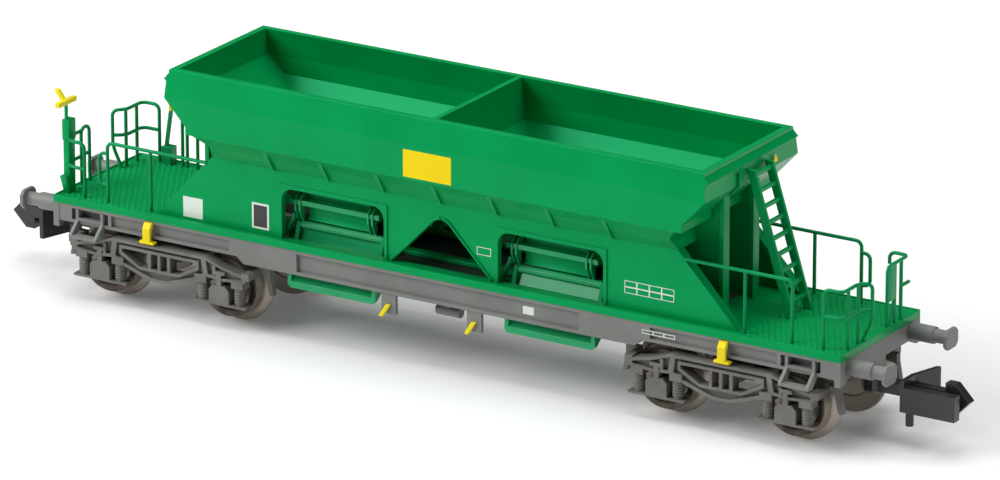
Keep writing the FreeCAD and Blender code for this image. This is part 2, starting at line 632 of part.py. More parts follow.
def side_frame(body):
    """Cast side of a bogie: a flanged plate with a hanging belly, its framed spring slot and its ribs."""
    web = size.frame_web_face
    face = size.frame_flange_face
    edge = size.frame_flange_width
    outside = -face - size.overrun
    features = [add(body, "XZ_Plane", both_hands([
        (size.keel_flat_half, size.keel_foot), (size.keel_half, size.keel_rise),
        (size.belly_half, size.belly_shoulder), (size.peak_half, size.peak_height),
        (size.arch_half, size.arch_top),
        (size.frame_end_half, size.frame_end_foot), (size.frame_end_half, size.frame_end_top),
        (size.shoulder_half, size.shoulder_top), (size.crown_half, size.frame_top)]),
        -face, -size.frame_inner)]
    features.append(cut(body, "XZ_Plane", both_hands([
        (size.keel_flat_half, size.keel_foot + edge), (size.belly_half - edge, size.belly_shoulder + edge),
        (size.peak_half - edge, size.peak_height + edge),
        (size.crown_half - edge * 2, size.frame_top - edge)]), outside, -web))
    end = size.frame_end_half - edge
    for hand in (-1, 1):
        features.append(cut(body, "XZ_Plane", handed([
            (size.peak_half + edge, size.peak_height + edge), (size.arch_half, size.arch_top + edge),
            (end, size.frame_end_foot + edge), (end, size.frame_end_top - edge),
            (size.shoulder_half, size.shoulder_top - edge), (size.crown_half, size.frame_top - edge)], hand),
            outside, -web))
        features.append(add(body, "XZ_Plane", handed(rectangle(
            size.frame_rib_place, size.frame_rib_place + size.frame_rib,
            size.peak_height, size.shoulder_top), hand), -face, -web))
    rim = size.slot_rim
    features.append(add(body, "XZ_Plane", both_hands([
        (size.slot_foot_half, size.slot_foot - rim), (size.slot_half + rim, size.slot_tip_height - rim),
        (size.slot_half + rim, size.slot_top + rim)]), -face, -web))
    for part in range(4):
        features.append(cut(body, "XZ_Plane", slot_opening(part), outside, size.overrun - size.frame_inner))
    return features


def slot_opening(part):
    """One of the four openings that the ribs leave in a side frame's slot, from left to right."""
    left = size.slot_rib_pitch * (part - 2) + size.slot_rib / 2
    right = size.slot_rib_pitch * (part - 1) - size.slot_rib / 2
    if part == 0:
        return [(-size.slot_foot_half, size.slot_foot), (right, size.slot_foot), (right, size.slot_top),
                (-size.slot_half, size.slot_top), (-size.slot_half, size.slot_tip_height)]
    if part == 3:
        return [(left, size.slot_foot), (size.slot_foot_half, size.slot_foot),
                (size.slot_half, size.slot_tip_height), (size.slot_half, size.slot_top),
                (left, size.slot_top)]
    return rectangle(left, right, size.slot_foot, size.slot_top)


def axlebox(body, middle):
    """Axlebox with its guide, the seat plate under it, a spring on each side and the axle's bearing."""
    inner = size.frame_inner
    face = size.axlebox_face
    left, right = around(middle, size.axlebox_width / 2)
    corner = size.axlebox_corner
    features = [
        add(body, "XZ_Plane", [
            (left, size.axlebox_foot), (right, size.axlebox_foot), (right, size.axlebox_top - corner),
            (right - corner, size.axlebox_top), (left + corner, size.axlebox_top),
            (left, size.axlebox_top - corner)], -face, -inner),
        add(body, "XZ_Plane", rectangle(*around(middle, size.guide_width / 2), size.axlebox_top,
                                        size.guide_cap_foot), -face, -inner),
        add(body, "XZ_Plane", rectangle(*around(middle, size.guide_cap_width / 2), size.guide_cap_foot,
                                        size.guide_cap_top), -face, -inner),
        add(body, "XZ_Plane", rectangle(*around(middle, size.seat_half), size.seat_foot, size.seat_top),
            -face, -inner),
    ]
    centre = (face + inner) / 2
    for which in (-1, 1):
        spring = middle + size.spring_offset * which
        features.append(add(body, "XY_Plane", bevelled(
            *around(spring, size.spring_half), *around(-centre, size.spring_half), size.spring_corner),
            size.seat_top, size.spring_top))
        features.append(add(body, "XZ_Plane", rectangle(
            *around(spring, size.spring_cap_half), size.spring_top, size.arch_top + size.frame_flange_width),
            -face, -inner))
    reach = size.stub_radius + size.bearing_gap
    features.append(cut(body, "XZ_Plane", bevelled(
        *around(middle, reach), *around(size.flange_radius, reach), reach * OCTAGON_SHARE),
        -size.stub_reach - size.bearing_gap, -inner + size.overrun))
    return features


def frame_end(body, hand):
    """Short channel that turns in behind the side frame's end and carries a brake hanger."""
    start = size.frame_end_half
    stop = start + size.stub_beam_reach
    behind = start + size.stub_beam_gap
    near = size.hanger_near
    beam = add(body, "XY_Plane", handed([
        (start - size.stub_beam_reach, -size.frame_flange_face), (stop, -size.frame_flange_face),
        (stop, -near), (behind, -near), (behind, -size.frame_inner),
        (start - size.stub_beam_reach, -size.frame_inner)], hand), size.stub_beam_foot, size.stub_beam_top)
    toe = start + size.hanger_toe
    reach = start + size.hanger_reach
    hanger = add(body, "XZ_Plane", handed([
        (behind, size.stub_beam_foot), (start + size.hanger_heel, size.stub_beam_foot),
        (toe - size.hanger_toe_width, size.hanger_foot), (toe, size.hanger_foot),
        (reach, size.stub_beam_foot), (reach, size.hanger_top),
        (behind, size.hanger_top)], hand), -size.hanger_far, -near)
    return [beam, hanger]


def bogie_frame(label, hand):
    """Two-axle bogie frame: cast sides with axleboxes and springs, brake hangers and the middle transom."""
    body = new_body(label)
    features = side_frame(body)
    for place in (-1, 1):
        features += axlebox(body, size.wheelbase / 2 * place)
        features += frame_end(body, place)
    mirror(body, features, "XZ_Plane")
    block(body, around(ZERO, size.transom_half), around(ZERO, size.frame_inner),
          (size.transom_foot, size.frame_top))
    add_round(body, "XY_Plane", ZERO, ZERO, size.pivot_radius, size.frame_top, SOLE_SHALLOW - size.pivot_gap)
    return turned(body, BOGIE_PLACE * hand, ZERO, hand < 0)


def coupler(label, hand):
    """Black hook coupler: shank with its eye, guide plate, arrow-shaped hook, side wing and trip pin."""
    body = new_body(label)
    start = PIN_PLACE + size.hook_start
    base = start + size.wing_thickness
    block(body, (PIN_PLACE, base), around(ZERO, size.shank_half), (size.shank_foot, size.shank_top))
    eye = size.eye_radius
    add(body, "XY_Plane", bevelled(*around(PIN_PLACE, eye), *around(ZERO, eye), eye * OCTAGON_SHARE),
        size.shank_foot, size.shank_top)
    cut_round(body, "XY_Plane", PIN_PLACE, ZERO, size.pin_radius + size.pin_gap,
              size.shank_foot - size.overrun, size.shank_top + size.overrun)
    block(body, (start, start + size.hook_length), (-size.guide_outer, -size.guide_inner),
          (size.guide_foot, size.guide_top))
    add(body, "XY_Plane", [
        (start, -size.guide_outer), (base, -size.guide_outer), (base, size.arrow_thickness / 2),
        (base + size.wing_sweep, size.wing_reach), (start + size.wing_sweep, size.wing_reach),
        (start, size.arrow_thickness / 2)], size.wing_foot, size.wing_top)
    barb = start + size.barb_back
    front = start + size.barb_front
    low, high = around(size.arrow_mid, size.arrow_half_height)
    add(body, "XZ_Plane", [
        (base, size.shank_foot), (barb, size.shank_foot), (barb, low), (front, low),
        (start + size.arrow_length, size.arrow_mid), (front, high), (barb, high), (barb, size.shank_top),
        (base, size.shank_top)], ZERO, size.arrow_thickness)
    add_round(body, "XY_Plane", start + size.trip_place, -(size.guide_outer + size.guide_inner) / 2,
              size.trip_radius, size.trip_foot, size.guide_foot)
    return turned(body, ZERO, ZERO, hand < 0)


def chute(label, hand, side):
    """Bent discharge plate with a roll along its head, between two cheeks that reach under the solebar."""
    body = new_body(label)
    thick = size.chute_thickness
    foot_line = size.chute_foot_line
    outer = [(size.chute_head_line, size.chute_head), (size.chute_bend_line, size.chute_bend),
             (size.chute_knee_line, size.chute_knee), (foot_line, size.chute_lip_top)]
    inner = [(line - thick, height) for line, height in reversed(outer)]
    low, high = size.chute_near, size.chute_far
    add(body, "YZ_Plane", handed(outer + inner, side), low * hand, high * hand)
    roll = size.roll_half
    add(body, "YZ_Plane", bevelled(
        *around(size.chute_head_line * side, roll), *around(size.roll_height, roll), roll * OCTAGON_SHARE),
        low * hand, high * hand)
    left, right = low - size.cheek_thickness, high + size.cheek_thickness
    foot, corner = size.chute_foot, size.chute_corner
    add(body, "XZ_Plane", handed([
        (left, size.chute_lip_top), (left, foot + corner), (left + corner, foot), (right - corner, foot),
        (right, foot + corner), (right, size.chute_lip_top)], hand),
        (foot_line - thick) * side, foot_line * side)
    top = size.roll_height + roll
    back = size.cheek_set_back
    cheek = [
        (size.chute_head_line + roll, top), (size.sole_inner, size.chute_bend), (size.sole_inner, SOLE_DEEP),
        (foot_line, SOLE_DEEP), (foot_line, foot + corner), (foot_line - thick, foot + corner),
        (size.chute_knee_line - back, size.chute_knee), (size.chute_head_line - back, size.chute_head),
        (size.chute_head_line - roll, top)]
    for start, stop in ((left, low), (high, right)):
        add(body, "YZ_Plane", handed(cheek, side), start * hand, stop * hand)
    return body


def door_gear(label, hand, side):
    """Door shaft of one window on two pairs of cranks that hang from the funnel down to the roll."""
    body = new_body(label)
    slope = (size.strip_half_width - size.funnel_lip - size.mouth_half_width) / (
        size.strip_foot - size.funnel_bottom)
    head = size.mouth_half_width + (size.arm_top - size.funnel_bottom) * slope
    foot = size.mouth_half_width + (size.arm_foot - size.funnel_bottom) * slope
    corner = size.arm_corner
    face = size.arm_face
    roll_top = size.roll_height + size.roll_half
    flat = size.roll_half * (1 - OCTAGON_SHARE)
    crank = [
        (head, size.arm_top), (foot, size.arm_foot), (face - size.arm_waist, size.arm_foot),
        (size.chute_head_line - flat, roll_top), (size.chute_head_line + flat, roll_top),
        (face, size.arm_foot), (face, size.arm_top - corner), (face - corner, size.arm_top)]
    window = (size.window_near + size.window_far) / 2 * hand
    for reach in (-size.arm_left, size.arm_right):
        for which in (-1, 1):
            place = window - (reach + size.arm_spacing / 2 * which) * side
            add(body, "YZ_Plane", handed(crank, side), *around(place, size.arm_thickness / 2))
    left = window + (size.arm_left + size.rod_overhang) * side
    right = window - (size.arm_right + size.rod_overhang) * side
    block(body, (left, right), around(size.rod_line * side, size.rod_half),
          around(size.rod_height, size.rod_half))
    return body


def wire_post(body, along, across, foot, top):
    return block(body, around(along, size.wire / 2), around(across, size.wire / 2), (foot, top))


def wire_rail(body, along, across, height):
    """A square wire whose top lies at a height, between two places along or across the wagon."""
    return block(body, along, across, (height - size.wire, height))


def handrail(label, hand, side, looped):
    """Handrail from the side plate along the platform, on some with a grab loop at its end."""
    body = new_body(label)
    line = size.rail_line * side
    half = size.wire / 2
    top = size.rail_height
    start, toe = (PLATE_TOP + (size.strip_foot - height) * PLATE_PITCH for height in (top, top - size.wire))
    add(body, "XZ_Plane", handed([
        (start, top), (toe, top - size.wire),
        (RAIL_END + half, top - size.wire), (RAIL_END + half, top)], hand), *around(line, half))
    first = start + (RAIL_END - start) * size.rail_post_share
    for place in (first, RAIL_END):
        wire_post(body, place * hand, line, size.deck_top, size.rail_height)
    if looped:
        reach = RAIL_END + size.loop_reach
        for height in (size.loop_top, size.loop_foot + size.wire):
            wire_rail(body, (RAIL_END * hand, (reach + half) * hand), around(line, half), height)
        wire_post(body, reach * hand, line, size.loop_foot, size.loop_top)
    return body


def end_guard(label, hand, side, shift=ZERO):
    """Railing round the outer corner of a platform, bulging over the headstock beside the coupler."""
    body = new_body(label)
    half = size.wire / 2
    line = size.rail_line
    start = DECK_END - size.guard_inset - shift
    end = GUARD_LINE - shift
    bulge = end + size.guard_reach
    for top in (size.guard_height, size.guard_mid):
        low = top - size.wire
        wire_rail(body, (start * hand, (end + half) * hand), around(line * side, half), top)
        wire_rail(body, around(end * hand, half),
                  ((line + half) * side, (size.guard_third - half) * side), top)
        add(body, "XY_Plane", [(along * hand, across * side) for along, across in (
            (end - half, size.guard_third), (end + half, size.guard_third + half),
            (bulge + half, size.guard_bulge + half), (bulge + half, size.guard_bulge - half),
            (bulge - half, size.guard_bulge - half), (end - half, size.guard_third - half))], low, top)
    for along, across in ((start, line), (end, size.guard_second), (end, size.guard_third)):
        wire_post(body, along * hand, across * side, size.deck_top, size.guard_height)
    wire_post(body, bulge * hand, size.guard_bulge * side, size.guard_bend, size.guard_height)
    add(body, "XZ_Plane", handed([
        (end - half, size.deck_top), (end + half, size.deck_top), (bulge + half, size.guard_bend),
        (bulge - half, size.guard_bend)], hand), *around(size.guard_bulge * side, half))
    return body


def corner_guard(label, hand, side):
    """Railing of the platform corner beside the signal plate, with the plate's stand and strut."""
    body = new_body(label)
    half = size.wire / 2
    line = size.corner_guard_line
    start = DECK_END - size.corner_guard_start
    last = size.corner_guard_end
    along = (start * hand, (GUARD_LINE + half) * hand)
    wire_rail(body, along, around(line * side, half), size.guard_height)
    wire_rail(body, around(GUARD_LINE * hand, half), ((line + half) * side, last * side), size.guard_height)
    wire_rail(body, around(GUARD_LINE * hand, half), ((line + half) * side, size.corner_guard_post * side),
              size.guard_mid)
    wire_post(body, start * hand, line * side, size.guard_height - size.corner_guard_drop, size.guard_height)
    for across in (size.corner_guard_post, last):
        wire_post(body, GUARD_LINE * hand, across * side, size.deck_top, size.guard_height)
    edge = size.plate_line + size.plate_half
    wire_post(body, GUARD_LINE * hand, edge * side, size.deck_top, size.plate_top)
    block(body, around(GUARD_LINE * hand, half), (last * side, edge * side),
          (size.plate_foot, size.plate_top))
    add(body, "YZ_Plane", handed([
        (last, size.deck_top), (last + size.wire, size.deck_top), (edge + half, size.plate_foot),
        (edge - half, size.plate_foot)], side), *around(GUARD_LINE * hand, half))
    return body


def brake_column(label, hand, side):
    """Flared brake column with the stem of its handle."""
    body = new_body(label)
    outer = DECK_END - size.kerb_width
    inner = outer - size.column_depth
    near, far = size.column_near, size.column_far
    foot = near + size.column_flare
    add(body, "YZ_Plane", handed([
        (foot, size.deck_top), (foot, size.column_flare_top - size.column_flare),
        (near, size.column_flare_top), (near, size.column_top), (far, size.column_top),
        (far, size.deck_top)], side), inner * hand, outer * hand)
    add_round(body, "XY_Plane", (inner + outer) * hand / 2, size.stem_line * side, size.stem_radius,
              size.column_top, size.stem_top)
    return body


def brake_handle(label, hand, side):
    """Yellow handle on top of the brake column's stem: a cross bar with one arm that rises outwards."""
    body = new_body(label)
    middle = DECK_END - size.kerb_width - size.column_depth / 2
    thick = size.handle_thickness
    half = thick / 2
    low = size.stem_top
    tip = middle + size.handle_reach
    high = low + size.handle_rise
    block(body, around(middle * hand, half), around(size.stem_line * side, size.handle_half),
          (low, low + thick))
    add(body, "XZ_Plane", handed([
        (middle - half, low), (middle + half, low), (tip + half, high), (tip - half, high)], hand),
        *around(size.stem_line * side, half))
    return body


def inner_guard(label, hand, side):
    """Railing between the brake column and the hoop beside the coupler."""
    body = new_body(label)
    half = size.wire / 2
    start = DECK_END - size.guard_inset - size.guard_shift
    end = DECK_END - size.hoop_inset
    column = DECK_END - size.kerb_width - size.column_depth
    line = size.rail_line
    for top in (size.guard_height - size.wire, size.guard_mid - size.wire):
        wire_rail(body, (start * hand, column * hand), around(line * side, half), top)
        wire_rail(body, around(end * hand, half), (size.column_far * side, size.hoop_near * side), top)
    wire_post(body, start * hand, line * side, size.deck_top, size.guard_height - size.wire)
    wire_post(body, end * hand, (size.column_far - half) * side, size.deck_top, size.guard_height - size.wire)
    for across in (size.hoop_near, size.hoop_far):
        wire_post(body, end * hand, across * side, size.deck_top, size.hoop_top)
    for top in (size.hoop_top, size.hoop_ledge):
        wire_rail(body, around(end * hand, size.wire),
                  ((size.hoop_near + half) * side, (size.hoop_far - half) * side), top)
    return body


def standing_gear(label, hand, side):
    """Leaning post on its box, on the platform beside the hopper."""
    body = new_body(label)
    half = size.wire / 2
    place = DECK_END - size.post_inset
    foot = place + size.post_lean / 2
    head = place - size.post_lean / 2
    line = size.post_line * side
    block(body, around(place * hand, size.stand_half), around(line, size.stand_half),
          (size.deck_top, size.post_foot))
    add(body, "XZ_Plane", handed([
        (foot - half, size.post_foot), (foot + half, size.post_foot),
        (head + half, size.post_top), (head - half, size.post_top)], hand), *around(line, half))
    return body


def post_cap(label, hand, side):
    """Yellow grip on the leaning post."""
    body = new_body(label)
    place = DECK_END - size.post_inset - size.post_lean / 2
    half = size.wire / 2
    block(body, around(place * hand, half), around(size.post_line * side, half),
          (size.post_top, size.post_top + size.post_cap))
    return body


def side_hoop(label, hand, side):
    """Narrow hoop on the platform between the handrail's posts."""
    body = new_body(label)
    half = size.wire / 2
    line = size.post_line * side
    near = DECK_END - size.stand_hoop_near
    far = DECK_END - size.stand_hoop_far
    for place in (near, far):
        wire_post(body, place * hand, line, size.deck_top, size.loop_top)
    wire_rail(body, ((near + half) * hand, (far - half) * hand), around(line, half), size.loop_top)
    return body


def ladder(label, hand):
    """Leaning ladder from the platform up to the hopper's end, with nine square rungs."""
    body = new_body(label)
    top = BAND + size.ladder_top_gap
    foot = DECK_END - size.ladder_foot_inset
    width = size.stringer_width
    for across in (-size.ladder_near, size.ladder_far):
        add(body, "XZ_Plane", handed([
            (foot, size.deck_top), (foot + width, size.deck_top), (top + width, size.ladder_top),
            (top, size.ladder_top)], hand), *around(across, size.stringer_thickness / 2))
    rise = size.ladder_top - size.deck_top
    for number in range(RUNG_COUNT):
        height = size.deck_top + size.rung_first + size.rung_pitch * number
        middle = foot + width / 2 + (top - foot) * (height - size.deck_top) / rise
        add(body, "XZ_Plane", rectangle(
            *around(middle * hand, size.rung / 2), *around(height, size.rung / 2)),
            -size.ladder_near, size.ladder_far)
    return body


def end_pipe(label, hand):
    """Thin pipe down the hopper's end and its slope to the head of the end support."""
    body = new_body(label)
    width = size.pipe_width
    reach = BAND + width
    add(body, "XZ_Plane", handed([
        (BAND, size.lip_foot - size.lip_undercut - width), (BAND, size.band_foot),
        (SUPPORT_FACE, SUPPORT_HEAD),
        (SUPPORT_FACE + width, SUPPORT_HEAD), (reach, size.band_foot),
        (reach, size.lip_foot - size.lip_undercut - width)], hand), *around(-size.pipe_line, width / 2))
    return body


def air_tank(label):
    """Small air tank under the well, on a strap from the near solebar."""
    body = new_body(label)
    add_round(body, "YZ_Plane", -size.tank_line, size.tank_height, size.tank_radius,
              -size.tank_left, size.tank_right)
    middle = (size.tank_right - size.tank_left) / 2
    top = size.tank_height + size.tank_radius / 2
    add(body, "YZ_Plane", [
        (-size.tank_line + size.strap_half, top), (-size.tank_line - size.strap_half, top),
        (-size.sole_inner, SOLE_DEEP + size.flange_rise), (-size.sole_inner, SOLE_SHALLOW + size.flange_rise),
        (-size.tank_line - size.strap_half, SOLE_SHALLOW + size.flange_rise),
        (-size.tank_line + size.strap_half, SOLE_SHALLOW)], *around(middle, size.strap_half))
    return body


def lever_plates(label, side):
    """Two plates under the solebar that carry the release levers."""
    body = new_body(label)
    for place in (size.lever_place_a, -size.lever_place_b):
        block(body, around(place, size.lever_plate_half),
              ((size.lever_plate_face - size.lever_plate_thickness) * side, size.lever_plate_face * side),
              (size.lever_plate_foot, SOLE_DEEP))
    return body


def levers(label, side):
    """Yellow release levers that slant across their plates."""
    body = new_body(label)
    face = size.lever_plate_face * side
    for place in (size.lever_place_a, -size.lever_place_b):
        head = place + size.lever_head_reach
        toe = place - size.lever_toe_reach
        add(body, "XZ_Plane", [
            (toe, size.lever_foot), (toe + size.lever_width, size.lever_foot),
            (head + size.lever_width / 2, size.lever_top), (head - size.lever_width / 2, size.lever_top)],
            face, face + size.lever_thickness * side)
    return body


def rope_hook(label, place, side):
    """Yellow rope hook on the solebar's face: a bent strap on a wider foot."""
    body = new_body(label)
    face = size.sole_outer
    out = face + size.hook_depth
    strap = size.hook_strap
    add(body, "YZ_Plane", handed([
        (face, size.hook_top), (face, size.hook_top - strap), (out - strap, size.hook_shoulder - strap),
        (out - strap, size.hook_foot), (out, size.hook_foot), (out, size.hook_shoulder),
        (face + strap, size.hook_top)], side), *around(place, size.hook_half))
    block(body, around(place, size.hook_base_half), (face * side, out * side),
          (size.hook_foot, size.hook_foot + size.hook_base_height))
    return body


parts = [underframe(), deck(), gussets(bins(hopper_shell()))]
for name, side in (("near", -1), ("far", 1)):
    parts.append(side_plate("side_plate_" + name, side))
for name, hand in (("a", 1), ("b", -1)):
    parts.append(end_support("end_support_" + name, hand))
    parts.append(bogie_frame("bogie_frame_" + name, hand))
    parts.append(coupler("coupler_" + name, hand))
    for which, place in (("outer", hand), ("inner", -hand)):
        parts.append(wheelset("wheelset_%s_%s" % (name, which), place, hand))
    for flank, side in (("near", -1), ("far", 1)):
        parts.append(buffer("buffer_%s_%s" % (name, flank), hand, side))
        parts.append(footstep("step_%s_%s" % (name, flank), hand, side))
        parts.append(chute("chute_%s_%s" % (name, flank), hand, side))
        parts.append(door_gear("door_gear_%s_%s" % (name, flank), hand, side))
        parts.append(handrail("handrail_%s_%s" % (name, flank), hand, side, hand == side))
parts.append(end_guard("end_guard_a_near", 1, -1))
parts.append(end_guard("end_guard_b_far", -1, 1, size.guard_shift))
parts.append(corner_guard("corner_guard_a_far", 1, 1))
parts.append(inner_guard("inner_guard_b_near", -1, -1))
parts.append(brake_column("brake_column", -1, -1))
parts.append(brake_handle("brake_handle", -1, -1))
parts.append(standing_gear("standing_gear", -1, 1))
parts.append(post_cap("post_grip", -1, 1))
parts.append(side_hoop("side_hoop", -1, 1))
parts.append(ladder("ladder", 1))
parts.append(end_pipe("end_pipe", 1))
parts.append(air_tank("air_tank"))
parts.append(lever_plates("lever_plates", -1))
parts.append(levers("release_levers", -1))
for name, place in (("a", size.hook_place_a), ("b", -size.hook_place_b)):
    parts.append(rope_hook("rope_hook_" + name, place, -1))

doc.recompute()
for thing in doc.Objects:
    if "Invalid" in thing.State or "Error" in thing.State:
        raise RuntimeError("%s did not build" % thing.Label)
os.makedirs("parts", exist_ok=True)
for part in parts:
    if part.Shape.isNull() or not part.Shape.isValid():
        raise RuntimeError("%s has no valid shape" % part.Label)
    part.Shape.exportStep("parts/%s.step" % part.Label)
    box = part.Shape.BoundBox
    print("%-24s %d solids %8.2f mm3  z %.2f to %.2f" % (
        part.Label, len(part.Shape.Solids), part.Shape.Volume, box.ZMin, box.ZMax))
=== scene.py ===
import math

import bmesh
import bpy
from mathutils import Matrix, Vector


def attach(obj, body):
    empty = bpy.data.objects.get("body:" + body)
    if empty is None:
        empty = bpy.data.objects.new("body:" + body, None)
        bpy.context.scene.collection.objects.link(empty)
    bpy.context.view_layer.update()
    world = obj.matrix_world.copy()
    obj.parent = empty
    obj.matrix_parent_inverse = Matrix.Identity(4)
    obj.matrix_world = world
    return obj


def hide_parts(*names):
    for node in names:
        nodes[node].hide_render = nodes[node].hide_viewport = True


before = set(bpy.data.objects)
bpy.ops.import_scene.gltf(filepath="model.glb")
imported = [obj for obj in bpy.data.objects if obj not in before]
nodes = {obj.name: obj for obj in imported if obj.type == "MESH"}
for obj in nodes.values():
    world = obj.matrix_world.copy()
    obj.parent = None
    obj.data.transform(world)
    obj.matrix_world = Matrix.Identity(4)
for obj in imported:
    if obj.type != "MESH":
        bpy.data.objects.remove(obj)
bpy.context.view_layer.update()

# Underframe: the grey channel frame under the platform, with its headstocks and cross members. The real
# piece is one moulding in through-coloured grey plastic with a matt, finely grained skin and softly
# rounded edges. The deck clips down onto it, and the bogies and couplers turn on its pins.
MM = 0.001
SOLEBAR_GREY = (0.205, 0.212, 0.200)
SOLEBAR_SHADE = (0.165, 0.170, 0.160)
SOLEBAR_GLOSS = (0.42, 0.60)
SOLEBAR_GRAIN = 0.004 * MM
UNDERFRAME_ROUNDING = 0.05 * MM
NO_TINT = (1.0, 1.0, 1.0)
CLOUD_SIZE = 180.0
CLOUD_DETAIL = 4.0
CLOUD_SPREAD = (0.35, 0.65)
GRAIN_SIZE = 9000.0
GRAIN_DETAIL = 2.0
GRAIN_STRENGTH = 0.5
SAME_SPOT = 0.001 * MM
FLAT_ANGLE = math.radians(0.5)
EDGE_ANGLE = math.radians(35)


def deselect():
    for thing in bpy.context.selected_objects:
        thing.select_set(False)


def build_moulded_skin():
    """The skin that every moulded piece has: cloudy colour, patchy gloss and a fine grain."""
    group = bpy.data.node_groups.new("moulded_skin", "ShaderNodeTree")
    face = group.interface
    face.new_socket("Colour", in_out="INPUT", socket_type="NodeSocketColor")
    face.new_socket("Shade", in_out="INPUT", socket_type="NodeSocketColor")
    face.new_socket("Cloud size", in_out="INPUT", socket_type="NodeSocketFloat")
    face.new_socket("Grain size", in_out="INPUT", socket_type="NodeSocketFloat")
    face.new_socket("Gloss low", in_out="INPUT", socket_type="NodeSocketFloat")
    face.new_socket("Gloss high", in_out="INPUT", socket_type="NodeSocketFloat")
    face.new_socket("Colour", in_out="OUTPUT", socket_type="NodeSocketColor")
    face.new_socket("Roughness", in_out="OUTPUT", socket_type="NodeSocketFloat")
    face.new_socket("Height", in_out="OUTPUT", socket_type="NodeSocketFloat")
    given = group.nodes.new("NodeGroupInput")
    result = group.nodes.new("NodeGroupOutput")
    place = group.nodes.new("ShaderNodeTexCoord")
    cloud = group.nodes.new("ShaderNodeTexNoise")
    cloud.inputs["Detail"].default_value = CLOUD_DETAIL
    grain = group.nodes.new("ShaderNodeTexNoise")
    grain.inputs["Detail"].default_value = GRAIN_DETAIL
    blend = group.nodes.new("ShaderNodeMix")
    blend.data_type = "RGBA"
    spread = group.nodes.new("ShaderNodeMapRange")
    spread.inputs["From Min"].default_value = CLOUD_SPREAD[0]
    spread.inputs["From Max"].default_value = CLOUD_SPREAD[1]
    gloss = group.nodes.new("ShaderNodeMapRange")
    link = group.links.new
    link(place.outputs["Object"], cloud.inputs["Vector"])
    link(place.outputs["Object"], grain.inputs["Vector"])
    link(given.outputs["Cloud size"], cloud.inputs["Scale"])
    link(given.outputs["Grain size"], grain.inputs["Scale"])
    link(cloud.outputs["Fac"], spread.inputs["Value"])
    link(spread.outputs["Result"], blend.inputs["Factor"])
    link(given.outputs["Shade"], blend.inputs["A"])
    link(given.outputs["Colour"], blend.inputs["B"])
    link(cloud.outputs["Fac"], gloss.inputs["Value"])
    link(given.outputs["Gloss low"], gloss.inputs["To Min"])
    link(given.outputs["Gloss high"], gloss.inputs["To Max"])
    link(blend.outputs["Result"], result.inputs["Colour"])
    link(gloss.outputs["Result"], result.inputs["Roughness"])
    link(grain.outputs["Fac"], result.inputs["Height"])
    return group


moulded_skin = build_moulded_skin()


def moulded(name, colour, shade, gloss, grain_depth, cloud_size=CLOUD_SIZE, grain_size=GRAIN_SIZE,
            sheen=NO_TINT):
    """A moulded plastic whose skin has its own colours, gloss, tint of the gloss and depth of grain."""
    material = bpy.data.materials.new(name)
    material.use_nodes = True
    shader = material.node_tree.nodes["Principled BSDF"]
    shader.inputs["Specular Tint"].default_value = (*sheen, 1)
    skin = material.node_tree.nodes.new("ShaderNodeGroup")
    skin.node_tree = moulded_skin
    skin.inputs["Colour"].default_value = (*colour, 1)
    skin.inputs["Shade"].default_value = (*shade, 1)
    skin.inputs["Cloud size"].default_value = cloud_size
    skin.inputs["Grain size"].default_value = grain_size
    skin.inputs["Gloss low"].default_value = gloss[0]
    skin.inputs["Gloss high"].default_value = gloss[1]
    bump = material.node_tree.nodes.new("ShaderNodeBump")
    bump.inputs["Strength"].default_value = GRAIN_STRENGTH
    bump.inputs["Distance"].default_value = grain_depth
    link = material.node_tree.links.new
    link(skin.outputs["Colour"], shader.inputs["Base Color"])
    link(skin.outputs["Roughness"], shader.inputs["Roughness"])
    link(skin.outputs["Height"], bump.inputs["Height"])
    link(bump.outputs["Normal"], shader.inputs["Normal"])
    return material


def dress(name, material, rounding, steps=2):
    """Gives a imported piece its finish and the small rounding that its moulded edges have."""
    piece = nodes[name]
    for place in piece.material_slots:
        place.material = material
    weld = piece.modifiers.new("weld", "WELD")
    weld.merge_threshold = SAME_SPOT
    flat = piece.modifiers.new("flat", "DECIMATE")
    flat.decimate_type = "DISSOLVE"
    flat.angle_limit = FLAT_ANGLE
    edge = piece.modifiers.new("edge", "BEVEL")
    edge.width = rounding
    edge.segments = steps
    edge.limit_method = "ANGLE"
    edge.angle_limit = EDGE_ANGLE
    edge.use_clamp_overlap = True
    edge.harden_normals = False


solebar_plastic = moulded("solebar_plastic", SOLEBAR_GREY, SOLEBAR_SHADE, SOLEBAR_GLOSS, SOLEBAR_GRAIN)
dress("underframe", solebar_plastic, UNDERFRAME_ROUNDING)

# Deck: the platform from end to end of the wagon, moulded in the body's bright green plastic. It has a
# satin skin, a raised kerb all round and a tread pattern of short raised bars on both end platforms,
# in rows that are set half a bar's pitch apart from row to row.
BODY_GREEN = (0.000, 0.305, 0.076)
BODY_GREEN_SHADE = (0.000, 0.272, 0.065)
GREEN_SHEEN = (0.05, 1.00, 0.50)
GREEN_GLOSS = (0.26, 0.40)
GREEN_GRAIN = 0.002 * MM
DECK_ROUNDING = 0.04 * MM
BAR_LENGTH = 0.30 * MM
BAR_WIDTH = 0.14 * MM
BAR_HEIGHT = 0.07 * MM
BAR_CROWN_SHARES = (0.75, 0.45, 1)
BAR_PITCH = 0.58 * MM
BAR_ROW_PITCH = 0.49 * MM
BAR_FIRST = 29.85 * MM
BAR_LAST = 39.15 * MM
BAR_EDGE = 6.4 * MM
DECK_TOP = 9.05 * MM
SOFTEN_ANGLE = math.radians(30)
SMOOTH_ANGLE = math.radians(32)

body_plastic = moulded("body_plastic", BODY_GREEN, BODY_GREEN_SHADE, GREEN_GLOSS, GREEN_GRAIN,
                       sheen=GREEN_SHEEN)
dress("deck", body_plastic, DECK_ROUNDING)


